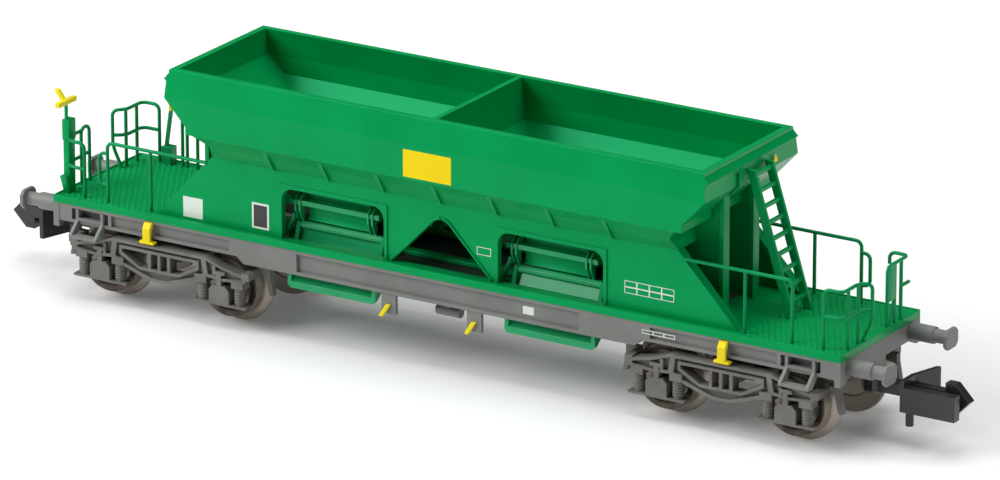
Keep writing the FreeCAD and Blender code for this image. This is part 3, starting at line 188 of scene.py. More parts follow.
def select_faces(piece, wanted):
    """Selects in edit mode the faces whose centre and normal the given test wants."""
    mesh = bmesh.from_edit_mesh(piece.data)
    mesh.select_mode = {"FACE"}
    for face in mesh.faces:
        face.select_set(bool(wanted(face.calc_center_median(), face.normal)))
    mesh.select_flush_mode()
    bmesh.update_edit_mesh(piece.data)


def add_block(low, high):
    """A block between two corners, with its place in its mesh."""
    deselect()
    middle = [(a + b) / 2 for a, b in zip(low, high)]
    bpy.ops.mesh.primitive_cube_add(size=1, location=middle)
    piece = bpy.context.object
    piece.scale = [b - a for a, b in zip(low, high)]
    bpy.ops.object.transform_apply(location=True, rotation=True, scale=True)
    return piece


def join(pieces):
    """Joins new pieces into the first of them."""
    deselect()
    for piece in pieces:
        piece.select_set(True)
    bpy.context.view_layer.objects.active = pieces[0]
    if len(pieces) > 1:
        bpy.ops.object.join()
    return pieces[0]


def apply_all(piece):
    """Applies a piece's modifiers in order."""
    deselect()
    piece.select_set(True)
    bpy.context.view_layer.objects.active = piece
    for modifier in list(piece.modifiers):
        bpy.ops.object.modifier_apply(modifier=modifier.name)


def finish(piece, name, material, body):
    """Names a finished piece, gives it its material and puts it on its body."""
    piece.name = name
    piece.data.name = name
    piece.data.materials.clear()
    piece.data.materials.append(material)
    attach(piece, body)
    return piece


def soften(piece, rounding, steps=3):
    """Rounds the edges of a new piece and applies that."""
    edge = piece.modifiers.new("edge", "BEVEL")
    edge.width = rounding
    edge.segments = steps
    edge.limit_method = "ANGLE"
    edge.angle_limit = SOFTEN_ANGLE
    apply_all(piece)
    bpy.ops.object.shade_smooth_by_angle(angle=SMOOTH_ANGLE)


def tread_bar(start, row):
    """One raised bar, wider at its foot than at its crown."""
    bar = add_block((start, row - BAR_WIDTH / 2, DECK_TOP - BAR_HEIGHT / 4),
                    (start + BAR_LENGTH, row + BAR_WIDTH / 2, DECK_TOP + BAR_HEIGHT))
    bpy.ops.object.mode_set(mode="EDIT")
    select_faces(bar, lambda centre, normal: normal.z > 0.5)
    bpy.ops.transform.resize(value=BAR_CROWN_SHARES)
    bpy.ops.object.mode_set(mode="OBJECT")
    return bar


for end, hand in (("a", 1), ("b", -1)):
    layers = []
    for shift in (0, 1):
        left = BAR_FIRST if hand > 0 else -BAR_LAST
        bar = tread_bar(left + shift * BAR_PITCH / 2, -BAR_EDGE + shift * BAR_ROW_PITCH)
        along = bar.modifiers.new("along", "ARRAY")
        along.count = int((BAR_LAST - BAR_FIRST) / BAR_PITCH)
        along.use_relative_offset = False
        along.use_constant_offset = True
        along.constant_offset_displace = (BAR_PITCH, 0, 0)
        across = bar.modifiers.new("across", "ARRAY")
        across.count = int(BAR_EDGE / BAR_ROW_PITCH)
        across.use_relative_offset = False
        across.use_constant_offset = True
        across.constant_offset_displace = (0, BAR_ROW_PITCH * 2, 0)
        apply_all(bar)
        layers.append(bar)
    finish(join(layers), "platform_tread_" + end, body_plastic, "wagon")

# Hopper, side plates and end supports: the green bin with its two side plates and the webs under its
# sloping ends. All are moulded in the same plastic as the deck and cemented together, with sharp but
# slightly eased edges along the rim, the crease and the window frames.
HOPPER_ROUNDING = 0.07 * MM
PLATE_ROUNDING = 0.04 * MM
dress("hopper_shell", body_plastic, HOPPER_ROUNDING)
for name in ("side_plate_near", "side_plate_far", "end_support_a", "end_support_b"):
    dress(name, body_plastic, PLATE_ROUNDING)

# Discharge chutes and door gear: the bent plates with their rolls under each window, and the shaft on its
# cranks above. They are moulded in green plastic with a shinier skin, and stand in the windows between the
# side plate and the funnel. Their green is painted paler than the body's: a painted highlight for the
# bright reflection on their upward-facing plates.
# Painted highlight: the chute green is paler than the body green to show the reflection on the plates.
CHUTE_GREEN_PAINTED_HIGHLIGHT = (0.010, 0.360, 0.125)
CHUTE_GREEN_PAINTED_HIGHLIGHT_SHADE = (0.006, 0.310, 0.102)
CHUTE_SHEEN = (0.60, 1.00, 0.80)
CHUTE_GLOSS = (0.15, 0.27)
CHUTE_ROUNDING = 0.06 * MM
GEAR_ROUNDING = 0.08 * MM
chute_plastic = moulded("chute_plastic", CHUTE_GREEN_PAINTED_HIGHLIGHT, CHUTE_GREEN_PAINTED_HIGHLIGHT_SHADE, CHUTE_GLOSS, GREEN_GRAIN,
                        sheen=CHUTE_SHEEN)
for end in ("a", "b"):
    for flank in ("near", "far"):
        dress("chute_%s_%s" % (end, flank), chute_plastic, CHUTE_ROUNDING)
        dress("door_gear_%s_%s" % (end, flank), chute_plastic, GEAR_ROUNDING)

# Door flaps: behind each shaft a thin flap hangs from the funnel's wall down to the chute's roll. It is
# moulded in the body's plastic, with its foot bent outward so that the load slides over the roll.
WINDOW_MIDDLE = 10.95 * MM
FLAP_LONG = 3.75 * MM
FLAP_SHORT = 2.55 * MM
FLAP_BACK = 3.70 * MM
FLAP_FACE = 3.90 * MM
FLAP_TOP = 12.95 * MM
FLAP_BEND = 10.82 * MM
FLAP_TOE = 0.28 * MM
FLAP_ROUNDING = 0.03 * MM
for flank, side in (("near", -1), ("far", 1)):
    for end, hand in (("a", 1), ("b", -1)):
        left, right = (FLAP_LONG, FLAP_SHORT) if side < 0 else (FLAP_SHORT, FLAP_LONG)
        low, high = sorted((FLAP_BACK * side, FLAP_FACE * side))
        flap = add_block((WINDOW_MIDDLE * hand - left, low, FLAP_BEND),
                         (WINDOW_MIDDLE * hand + right, high, FLAP_TOP))
        bpy.ops.object.mode_set(mode="EDIT")
        select_faces(flap, lambda centre, normal: normal.z < -0.5)
        bpy.ops.mesh.extrude_region_move(TRANSFORM_OT_translate={"value": (0, FLAP_TOE * side, -FLAP_TOE)})
        bpy.ops.object.mode_set(mode="OBJECT")
        soften(flap, FLAP_ROUNDING)
        finish(flap, "door_flap_%s_%s" % (end, flank), body_plastic, "wagon")

# Ballast weight: a near-black plate lies on the cross members under the funnels, wide in the middle and
# narrow between the chutes, and stands for the steel that gives the light model its weight. Its near-black
# colour is also painted shade: it fills the middle opening with the deep shade seen there.
# Painted shade: the plate's near-black colour also stands in for the deep shade under the middle opening.
WEIGHT_BLACK_AND_PAINTED_SHADE = (0.014, 0.014, 0.015)
WEIGHT_SHADE = (0.022, 0.021, 0.019)
WEIGHT_GLOSS = (0.38, 0.55)
WEIGHT_GRAIN = 0.003 * MM
WEIGHT_LENGTH = 18.5 * MM
WEIGHT_WIDTH = 3.2 * MM
WEIGHT_WIDE_LENGTH = 6.2 * MM
WEIGHT_WIDE_WIDTH = 5.2 * MM
WEIGHT_FOOT = 8.52 * MM
WEIGHT_TOP = 8.78 * MM
WEIGHT_ROUNDING = 0.04 * MM
black_steel_and_painted_shade = moulded("black_steel_and_painted_shade", WEIGHT_BLACK_AND_PAINTED_SHADE, WEIGHT_SHADE, WEIGHT_GLOSS, WEIGHT_GRAIN)
weight = add_block((-WEIGHT_WIDE_LENGTH, -WEIGHT_WIDTH, WEIGHT_FOOT),
                   (WEIGHT_WIDE_LENGTH, WEIGHT_WIDTH, WEIGHT_TOP))
bpy.ops.object.mode_set(mode="EDIT")
for hand in (1, -1):
    select_faces(weight, lambda centre, normal: normal.x * hand > 0.5)
    bpy.ops.mesh.extrude_region_move(
        TRANSFORM_OT_translate={"value": ((WEIGHT_LENGTH - WEIGHT_WIDE_LENGTH) * hand, 0, 0)})
for side in (1, -1):
    select_faces(weight, lambda centre, normal:
                 normal.y * side > 0.5 and abs(centre.x) < WEIGHT_WIDE_LENGTH)
    bpy.ops.mesh.extrude_region_move(
        TRANSFORM_OT_translate={"value": (0, (WEIGHT_WIDE_WIDTH - WEIGHT_WIDTH) * side, 0)})
bpy.ops.object.mode_set(mode="OBJECT")
soften(weight, WEIGHT_ROUNDING)
finish(weight, "ballast_weight", black_steel_and_painted_shade, "wagon")

# Middle beams: two green beams lie over the weight along the wagon and show in the middle opening. They
# are moulded in the body's plastic, with rounded upper edges.
BEAM_LENGTH = 18.5 * MM
BEAM_INNER = 2.21 * MM
BEAM_OUTER = 3.17 * MM
BEAM_FOOT = 8.80 * MM
BEAM_TOP = 9.20 * MM
BEAM_ROUNDING = 0.08 * MM
for flank, side in (("near", -1), ("far", 1)):
    low, high = sorted((BEAM_INNER * side, BEAM_OUTER * side))
    beam = add_block((-BEAM_LENGTH, low, BEAM_FOOT), (BEAM_LENGTH, high, BEAM_TOP))
    soften(beam, BEAM_ROUNDING)
    finish(beam, "middle_beam_" + flank, body_plastic, "wagon")

# Bogie frames: each is one moulding in darker grey plastic, with its cast-looking sides, axleboxes and
# hangers. The skin is a little rougher than the solebar's, and dust has settled in a warmer tone.
BOGIE_GREY = (0.175, 0.172, 0.158)
BOGIE_SHADE = (0.125, 0.120, 0.108)
BOGIE_GLOSS = (0.45, 0.66)
BOGIE_GRAIN = 0.005 * MM
BOGIE_CLOUDS = 420.0
BOGIE_ROUNDING = 0.05 * MM
bogie_plastic = moulded("bogie_plastic", BOGIE_GREY, BOGIE_SHADE, BOGIE_GLOSS, BOGIE_GRAIN,
                        cloud_size=BOGIE_CLOUDS)
for end in ("a", "b"):
    dress("bogie_frame_" + end, bogie_plastic, BOGIE_ROUNDING)

# Coil springs: two stand on the seat plate beside each axlebox and carry the bogie's side. On the model
# they are moulded with the frame as close rings of grey plastic round a solid core.
AXLE_PLACES = (22.05 * MM, 34.55 * MM)
SPRING_OFFSET = 1.9 * MM
SPRING_LINE = 6.575 * MM
SPRING_FOOT = 2.45 * MM
SPRING_TOP = 3.95 * MM
SPRING_RADIUS = 0.44 * MM
SPRING_WIRE = 0.105 * MM
SPRING_TURNS = 5
SPRING_SIDES = 8
SPRING_STEPS = 16


def coil_spring(along, across):
    """A closed coil: a small ring of wire that is screwed up round the spring's axis."""
    deselect()
    bpy.ops.mesh.primitive_circle_add(vertices=SPRING_SIDES, radius=SPRING_WIRE,
                                      location=(SPRING_RADIUS, 0, 0), rotation=(math.radians(90), 0, 0))
    coil = bpy.context.object
    bpy.ops.object.transform_apply(location=True, rotation=True, scale=True)
    screw = coil.modifiers.new("screw", "SCREW")
    screw.axis = "Z"
    screw.angle = math.radians(360)
    screw.screw_offset = (SPRING_TOP - SPRING_FOOT - 2 * SPRING_WIRE) / SPRING_TURNS
    screw.iterations = SPRING_TURNS
    screw.steps = SPRING_STEPS
    screw.render_steps = SPRING_STEPS
    apply_all(coil)
    bpy.ops.object.mode_set(mode="EDIT")
    bpy.ops.mesh.select_all(action="SELECT")
    bpy.ops.mesh.remove_doubles(threshold=SAME_SPOT)
    bpy.ops.mesh.select_all(action="DESELECT")
    bpy.ops.mesh.select_non_manifold()
    bpy.ops.mesh.edge_face_add()
    bpy.ops.mesh.select_all(action="SELECT")
    bpy.ops.mesh.normals_make_consistent(inside=False)
    bpy.ops.mesh.faces_shade_smooth()
    bpy.ops.object.mode_set(mode="OBJECT")
    coil.location = (along, across, SPRING_FOOT + SPRING_WIRE)
    bpy.ops.object.transform_apply(location=True, rotation=True, scale=True)
    return coil


for end, hand in (("a", 1), ("b", -1)):
    coils = []
    for axle in AXLE_PLACES:
        for which in (-1, 1):
            for side in (-1, 1):
                coils.append(coil_spring((axle + SPRING_OFFSET * which) * hand, SPRING_LINE * side))
    finish(join(coils), "bogie_springs_" + end, bogie_plastic, "bogie_" + end)

# Middle plates of the bogies: a flat plate on either side of each transom ties the two side frames
# together. It is moulded with the bogie in the same grey plastic, with eased edges.
BOGIE_PLACE = 28.3 * MM
TRANSOM_SIDE = 1.52 * MM
PLATE_EDGE = 2.60 * MM
PLATE_END = 5.95 * MM
BOGIE_PLATE_FOOT = 5.00 * MM
BOGIE_PLATE_TOP = 5.50 * MM
BOGIE_PLATE_ROUNDING = 0.07 * MM
for end, hand in (("a", 1), ("b", -1)):
    halves = []
    for which in (-1, 1):
        low, high = sorted((TRANSOM_SIDE * which, PLATE_EDGE * which))
        half = add_block((BOGIE_PLACE * hand + low, -PLATE_END, BOGIE_PLATE_FOOT),
                         (BOGIE_PLACE * hand + high, PLATE_END, BOGIE_PLATE_TOP))
        soften(half, BOGIE_PLATE_ROUNDING)
        halves.append(half)
    finish(join(halves), "bogie_plate_" + end, bogie_plastic, "bogie_" + end)

# Wheelsets: axle and two wheels turned from brass and chemically browned, with a bright worn tread. The
# wheel has a rounded flange, a coned tread, a raised tyre ring and a dished face, turned on a lathe. The
# profile gives radius and distance from the middle in millimetres, from the axle's tip inward.
WHEEL_BROWN = (0.050, 0.038, 0.031)
WHEEL_WORN = (0.150, 0.122, 0.100)
TREAD_BRIGHT = (0.370, 0.320, 0.275)
TREAD_EDGE = 5.62 * MM
TREAD_FADE = 0.05 * MM
WHEEL_GLOSS = (0.32, 0.55)
WHEEL_METAL = 0.75
RING_STRETCH = (300, 9000, 300)
RING_DETAIL = 3.0
RING_STRENGTH = 0.4
RING_DEPTH = 0.006 * MM
PATCH_SIZE = 900.0
PATCH_DETAIL = 5.0
PATCH_SPREAD = (0.35, 0.70)
WHEEL_HEIGHT = 3.7 * MM
WHEEL_STEPS = 64
WHEEL_SAME_SPOT = 0.002 * MM
WHEEL_SMOOTH_ANGLE = math.radians(28)
WHEEL_PROFILE = [(0.00, 6.50), (0.30, 6.50), (0.42, 6.38), (0.42, 5.62), (0.95, 5.58), (1.05, 5.45),
                 (2.20, 5.30), (2.32, 5.40), (2.38, 5.66), (2.50, 5.70), (2.86, 5.70), (2.93, 5.62),
                 (2.95, 4.42), (3.05, 4.25), (3.40, 4.12), (3.60, 4.04), (3.69, 3.93), (3.66, 3.80),
                 (3.55, 3.71), (2.30, 3.70), (2.20, 3.82), (1.10, 3.92), (0.85, 3.70), (0.74, 3.66)]


def build_wheel_brown():
    """Browned metal with lathe rings across the axle and a brighter band where the rail has worn it."""
    material = bpy.data.materials.new("wheel_brown")
    material.use_nodes = True
    tree = material.node_tree
    shader = tree.nodes["Principled BSDF"]
    place = tree.nodes.new("ShaderNodeTexCoord")
    stretch = tree.nodes.new("ShaderNodeMapping")
    stretch.inputs["Scale"].default_value = RING_STRETCH
    rings = tree.nodes.new("ShaderNodeTexNoise")
    rings.inputs["Scale"].default_value = 1.0
    rings.inputs["Detail"].default_value = RING_DETAIL
    patches = tree.nodes.new("ShaderNodeTexNoise")
    patches.inputs["Scale"].default_value = PATCH_SIZE
    patches.inputs["Detail"].default_value = PATCH_DETAIL
    tone = tree.nodes.new("ShaderNodeMix")
    tone.data_type = "RGBA"
    tone.inputs["A"].default_value = (*WHEEL_BROWN, 1)
    tone.inputs["B"].default_value = (*WHEEL_WORN, 1)
    sharpen = tree.nodes.new("ShaderNodeMapRange")
    sharpen.inputs["From Min"].default_value = PATCH_SPREAD[0]
    sharpen.inputs["From Max"].default_value = PATCH_SPREAD[1]
    across = tree.nodes.new("ShaderNodeSeparateXYZ")
    reach = tree.nodes.new("ShaderNodeMath")
    reach.operation = "ABSOLUTE"
    worn = tree.nodes.new("ShaderNodeMapRange")
    worn.inputs["From Min"].default_value = TREAD_EDGE
    worn.inputs["From Max"].default_value = TREAD_EDGE - TREAD_FADE
    band = tree.nodes.new("ShaderNodeMix")
    band.data_type = "RGBA"
    band.inputs["B"].default_value = (*TREAD_BRIGHT, 1)
    rough = tree.nodes.new("ShaderNodeMapRange")
    rough.inputs["To Min"].default_value = WHEEL_GLOSS[0]
    rough.inputs["To Max"].default_value = WHEEL_GLOSS[1]
    bump = tree.nodes.new("ShaderNodeBump")
    bump.inputs["Strength"].default_value = RING_STRENGTH
    bump.inputs["Distance"].default_value = RING_DEPTH
    link = tree.links.new
    link(place.outputs["Object"], stretch.inputs["Vector"])
    link(place.outputs["Object"], patches.inputs["Vector"])
    link(stretch.outputs["Vector"], rings.inputs["Vector"])
    link(patches.outputs["Fac"], sharpen.inputs["Value"])
    link(sharpen.outputs["Result"], tone.inputs["Factor"])
    link(place.outputs["Object"], across.inputs["Vector"])
    link(across.outputs["Y"], reach.inputs[0])
    link(reach.outputs["Value"], worn.inputs["Value"])
    link(worn.outputs["Result"], band.inputs["Factor"])
    link(tone.outputs["Result"], band.inputs["A"])
    link(band.outputs["Result"], shader.inputs["Base Color"])
    link(rings.outputs["Fac"], rough.inputs["Value"])
    link(rough.outputs["Result"], shader.inputs["Roughness"])
    link(rings.outputs["Fac"], bump.inputs["Height"])
    link(bump.outputs["Normal"], shader.inputs["Normal"])
    shader.inputs["Metallic"].default_value = WHEEL_METAL
    return material


wheel_brown = build_wheel_brown()


def drawn_line(spots):
    """Extrudes one vertex from spot to spot, and leaves the line in edit mode."""
    deselect()
    bpy.ops.mesh.primitive_plane_add(size=MM, location=(0, 0, 0))
    line = bpy.context.object
    bpy.ops.object.mode_set(mode="EDIT")
    mesh = bmesh.from_edit_mesh(line.data)
    for spare in list(mesh.verts)[1:]:
        mesh.verts.remove(spare)
    mesh.verts.ensure_lookup_table()
    mesh.verts[0].co = spots[0]
    mesh.verts[0].select = True
    bmesh.update_edit_mesh(line.data)
    for last, spot in zip(spots, spots[1:]):
        bpy.ops.mesh.extrude_vertices_move(TRANSFORM_OT_translate={"value": spot - last})
    return line


def turned_wheelset(along):
    """Draws the half profile and its mirror image, and spins them round the axle."""
    mirrored = [(radius, -reach) for radius, reach in reversed(WHEEL_PROFILE)]
    wheel = drawn_line([Vector((0, reach, radius)) * MM for radius, reach in WHEEL_PROFILE + mirrored])
    bpy.ops.mesh.select_all(action="SELECT")
    bpy.ops.mesh.spin(steps=WHEEL_STEPS, angle=math.radians(360), center=(0, 0, 0), axis=(0, 1, 0))
    bpy.ops.mesh.select_all(action="SELECT")
    bpy.ops.mesh.remove_doubles(threshold=WHEEL_SAME_SPOT)
    bpy.ops.mesh.normals_make_consistent(inside=False)
    bpy.ops.mesh.faces_shade_smooth()
    bpy.ops.object.mode_set(mode="OBJECT")
    bpy.ops.object.shade_smooth_by_angle(angle=WHEEL_SMOOTH_ANGLE)
    wheel.location = (along, 0, WHEEL_HEIGHT)
    bpy.ops.object.transform_apply(location=True, rotation=True, scale=True)
    return wheel


for end, hand in (("a", 1), ("b", -1)):
    for which, axle in (("inner", AXLE_PLACES[0]), ("outer", AXLE_PLACES[1])):
        wheel = turned_wheelset(axle * hand)
        finish(wheel, "turned_wheels_%s_%s" % (end, which), wheel_brown, "axle_%s_%s" % (end, which))
        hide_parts("wheelset_%s_%s" % (end, which))

# Couplers: the hooks at both ends, moulded in tough black plastic with a faint sheen. Each turns on the
# underframe's pin behind the headstock, so that the wagon goes round tight curves.
COUPLER_BLACK = (0.026, 0.026, 0.026)
COUPLER_SHADE = (0.018, 0.018, 0.019)
COUPLER_GLOSS = (0.20, 0.34)
COUPLER_GRAIN = 0.003 * MM
COUPLER_ROUNDING = 0.06 * MM
coupler_plastic = moulded("coupler_plastic", COUPLER_BLACK, COUPLER_SHADE, COUPLER_GLOSS, COUPLER_GRAIN)
for end in ("a", "b"):
    dress("coupler_" + end, coupler_plastic, COUPLER_ROUNDING)

# Buffers and footsteps: separate mouldings in the frame's grey plastic. The buffers are pressed into the
# headstocks, and the steps hang in the recesses of the solebars.
BUFFER_ROUNDING = 0.05 * MM
STEP_ROUNDING = 0.04 * MM
for end in ("a", "b"):
    for flank in ("near", "far"):
        dress("buffer_%s_%s" % (end, flank), solebar_plastic, BUFFER_ROUNDING)
        dress("step_%s_%s" % (end, flank), solebar_plastic, STEP_ROUNDING)

# Handrails: one along each side of both platforms, from the side plate to a post near the end, on two of
# them with a grab loop. They are fine mouldings in flexible green plastic, round in section with short
# bends, and are pushed into holes in the deck. A wire's places and its bend are in millimetres.
RAIL_GREEN = (0.004, 0.270, 0.080)
RAIL_GREEN_SHADE = (0.003, 0.220, 0.064)
WIRE_RADIUS = 0.16
WIRE_BEND = 0.55
BEND_STEPS = 5
WIRE_ROUNDNESS = 4
WIRE_SMOOTH_ANGLE = math.radians(50)
ON_DECK = 9.06
RAIL_LINE = 5.85
RAIL_START = 23.95
RAIL_POST = 29.87
RAIL_END = 34.4
RAIL_TOP = 14.54
LOOP_END = 35.25
LOOP_TOP = 13.54
LOOP_FOOT = 10.66
rail_plastic = moulded("rail_plastic", RAIL_GREEN, RAIL_GREEN_SHADE, GREEN_GLOSS, GREEN_GRAIN,
                       sheen=GREEN_SHEEN)


def bent_wire(places, hand, side, bend=WIRE_BEND):
    """A round wire through places on end a's far side, which hand and side turn to the others."""
    wire = drawn_line([Vector((along * hand, across * side, height)) * MM
                       for along, across, height in places])
    mesh = bmesh.from_edit_mesh(wire.data)
    for spot in mesh.verts:
        spot.select_set(len(spot.link_edges) == 2)
    mesh.select_flush_mode()
    bmesh.update_edit_mesh(wire.data)
    if len(places) > 2:
        bpy.ops.mesh.bevel(offset=bend * MM, segments=BEND_STEPS, affect="VERTICES")
    bpy.ops.object.mode_set(mode="OBJECT")
    bpy.ops.object.convert(target="CURVE")
    wire = bpy.context.object
    wire.data.bevel_depth = WIRE_RADIUS * MM
    wire.data.bevel_resolution = WIRE_ROUNDNESS
    wire.data.use_fill_caps = True
    bpy.ops.object.convert(target="MESH")
    wire = bpy.context.object
    bpy.ops.object.mode_set(mode="EDIT")
    bpy.ops.mesh.select_all(action="SELECT")
    bpy.ops.mesh.remove_doubles(threshold=SAME_SPOT)
    bpy.ops.mesh.normals_make_consistent(inside=False)
    bpy.ops.object.mode_set(mode="OBJECT")
    bpy.ops.object.shade_smooth_by_angle(angle=WIRE_SMOOTH_ANGLE)
    return wire


def post(along, across, head, hand, side):
    """An upright wire from the deck to a height."""
    return bent_wire([(along, across, ON_DECK), (along, across, head)], hand, side)


def wire_piece(node, pieces):
    """Joins a railing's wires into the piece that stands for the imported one."""
    railing = finish(join(pieces), "round_" + node, rail_plastic, "wagon")
    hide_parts(node)


for end, hand in (("a", 1), ("b", -1)):
    for flank, side in (("near", -1), ("far", 1)):
        wires = [bent_wire([(RAIL_START, RAIL_LINE, RAIL_TOP), (RAIL_END, RAIL_LINE, RAIL_TOP),
                            (RAIL_END, RAIL_LINE, ON_DECK)], hand, side),
                 post(RAIL_POST, RAIL_LINE, RAIL_TOP, hand, side)]
        if hand == side:
            wires.append(bent_wire([(RAIL_END, RAIL_LINE, LOOP_TOP), (LOOP_END, RAIL_LINE, LOOP_TOP),
                                    (LOOP_END, RAIL_LINE, LOOP_FOOT), (RAIL_END, RAIL_LINE, LOOP_FOOT)],
                                   hand, side))
        wire_piece("handrail_%s_%s" % (end, flank), wires)

# End guards: the railing round one outer corner of each platform, which bulges over the headstock beside
# the coupler and comes back down to the deck. Each is a moulding of round wire like the handrails, and
# the one at end b stands a little further in.
GUARD_START = 37.4
GUARD_FACE = 39.18
GUARD_TOP = 14.34
GUARD_MIDDLE = 11.99
GUARD_POST = 4.9
GUARD_TURN = 3.2
BULGE_REACH = 0.95
BULGE_LINE = 2.5
BULGE_FOOT = 11.0
FAR_SHIFT = 0.55
for node, hand, side, shift in (("end_guard_a_near", 1, -1, 0.0), ("end_guard_b_far", -1, 1, FAR_SHIFT)):
    start = GUARD_START - shift
    face = GUARD_FACE - shift
    bulge = face + BULGE_REACH
    wire_piece(node, [
        bent_wire([(start, RAIL_LINE, ON_DECK), (start, RAIL_LINE, GUARD_TOP), (face, RAIL_LINE, GUARD_TOP),
                   (face, GUARD_TURN, GUARD_TOP), (bulge, BULGE_LINE, GUARD_TOP),
                   (bulge, BULGE_LINE, BULGE_FOOT), (face, BULGE_LINE, ON_DECK)], hand, side),
        bent_wire([(start, RAIL_LINE, GUARD_MIDDLE), (face, RAIL_LINE, GUARD_MIDDLE),
                   (face, GUARD_TURN, GUARD_MIDDLE), (bulge, BULGE_LINE, GUARD_MIDDLE)], hand, side),
        post(face, GUARD_POST, GUARD_TOP, hand, side), post(face, GUARD_TURN, GUARD_TOP, hand, side)])

# Corner guard: the railing of end a's far corner, with a thin signal plate, its stand and its strut beside
# the coupler. It is one moulding of the same plastic, pushed into the deck.
CORNER_LINE = 5.3
CORNER_TIP = 5.44
CORNER_HANG = 13.3
CORNER_POST = 4.1
CORNER_LAST = 1.75
STRUT_FOOT = 1.91
PLATE_LINES = (1.85, 3.0)
PLATE_FACES = (39.04, 39.32)
PLATE_HEIGHTS = (11.2, 14.4)
SIGNAL_ROUNDING = 0.06 * MM
signal_plate = add_block((PLATE_FACES[0] * MM, PLATE_LINES[0] * MM, PLATE_HEIGHTS[0] * MM),
                         (PLATE_FACES[1] * MM, PLATE_LINES[1] * MM, PLATE_HEIGHTS[1] * MM))
soften(signal_plate, SIGNAL_ROUNDING)
wire_piece("corner_guard_a_far", [
    bent_wire([(GUARD_START, CORNER_LINE, CORNER_HANG), (GUARD_START, CORNER_LINE, GUARD_TOP),
               (GUARD_FACE, CORNER_LINE, GUARD_TOP), (GUARD_FACE, CORNER_LAST, GUARD_TOP),
               (GUARD_FACE, CORNER_LAST, ON_DECK)], 1, 1),
    bent_wire([(GUARD_FACE, CORNER_TIP, GUARD_MIDDLE), (GUARD_FACE, CORNER_POST, GUARD_MIDDLE)], 1, 1),
    post(GUARD_FACE, CORNER_POST, GUARD_TOP, 1, 1), post(GUARD_FACE, PLATE_LINES[1], GUARD_TOP, 1, 1),
    bent_wire([(GUARD_FACE, STRUT_FOOT, ON_DECK), (GUARD_FACE, PLATE_LINES[1], PLATE_HEIGHTS[0])], 1, 1),
    signal_plate])

# Inner guard: the railing of end b's near corner. Its two rails run from a post to the brake column and on
# to a narrow hoop beside the coupler. It is one moulding like the other guards.
INNER_START = 36.85
INNER_BEND = 38.2
INNER_FACE = 39.15
INNER_TOP = 14.02
INNER_MIDDLE = 11.67
COLUMN_SPOT = (38.75, 5.35)
COLUMN_BACK = 4.8
INNER_POST = 4.24
HOOP_LINES = (3.0, 1.75)
HOOP_TOP = 14.24
HOOP_LEDGE = 11.74
wire_piece("inner_guard_b_near", [
    bent_wire([(INNER_START, RAIL_LINE, ON_DECK), (INNER_START, RAIL_LINE, INNER_TOP),
               (INNER_BEND, RAIL_LINE, INNER_TOP), (*COLUMN_SPOT, INNER_TOP)], -1, -1),
    bent_wire([(INNER_START, RAIL_LINE, INNER_MIDDLE), (INNER_BEND, RAIL_LINE, INNER_MIDDLE),
               (*COLUMN_SPOT, INNER_MIDDLE)], -1, -1),
    bent_wire([(INNER_FACE, COLUMN_BACK, INNER_TOP), (INNER_FACE, HOOP_LINES[0], INNER_TOP)], -1, -1),
    bent_wire([(INNER_FACE, COLUMN_BACK, INNER_MIDDLE), (INNER_FACE, HOOP_LINES[0], INNER_MIDDLE)], -1, -1),
    post(INNER_FACE, INNER_POST, INNER_TOP, -1, -1),
    bent_wire([(INNER_FACE, HOOP_LINES[0], ON_DECK), (INNER_FACE, HOOP_LINES[0], HOOP_TOP),
               (INNER_FACE, HOOP_LINES[1], HOOP_TOP), (INNER_FACE, HOOP_LINES[1], ON_DECK)], -1, -1),
    bent_wire([(INNER_FACE, HOOP_LINES[0], HOOP_LEDGE), (INNER_FACE, HOOP_LINES[1], HOOP_LEDGE)], -1, -1)])

# Side hoop: a narrow hoop of round wire at end b, on the far side between the handrail's posts. It is
# moulded in the rails' plastic and pushed into the deck.
SIDE_HOOP_PLACES = (33.9, 32.8)
SIDE_HOOP_TOP = 13.54
wire_piece("side_hoop", [
    bent_wire([(SIDE_HOOP_PLACES[0], RAIL_LINE, ON_DECK), (SIDE_HOOP_PLACES[0], RAIL_LINE, SIDE_HOOP_TOP),
               (SIDE_HOOP_PLACES[1], RAIL_LINE, SIDE_HOOP_TOP), (SIDE_HOOP_PLACES[1], RAIL_LINE, ON_DECK)],
              -1, 1)])

# Beads: a round bead runs up, over and down the edge of each side plate's middle opening. It is moulded
# with the plate in the body's plastic, and half of it is sunk in the plate.
BEAD_LINE = 5.88
BEAD_FOOT = (5.08, 9.16)
BEAD_CROWN = (0.52, 13.82)
for flank, side in (("near", -1), ("far", 1)):
    bead = bent_wire([(-BEAD_FOOT[0], BEAD_LINE, BEAD_FOOT[1]), (-BEAD_CROWN[0], BEAD_LINE, BEAD_CROWN[1]),
                      (BEAD_CROWN[0], BEAD_LINE, BEAD_CROWN[1]), (BEAD_FOOT[0], BEAD_LINE, BEAD_FOOT[1])],
                     1, side)
    finish(bead, "opening_rim_" + flank, body_plastic, "wagon")

# Standing gear, end pipe and ladder: the leaning post on its box at end b, and the pipe and the ladder on
# end a's slope. They are fine green mouldings too, with rounded edges, fixed to the deck and the hopper.
THIN_ROUNDING = 0.10 * MM
THIN_STEPS = 3
LADDER_ROUNDING = 0.07 * MM
for name in ("standing_gear", "end_pipe"):
    dress(name, rail_plastic, THIN_ROUNDING, steps=THIN_STEPS)
dress("ladder", body_plastic, LADDER_ROUNDING)

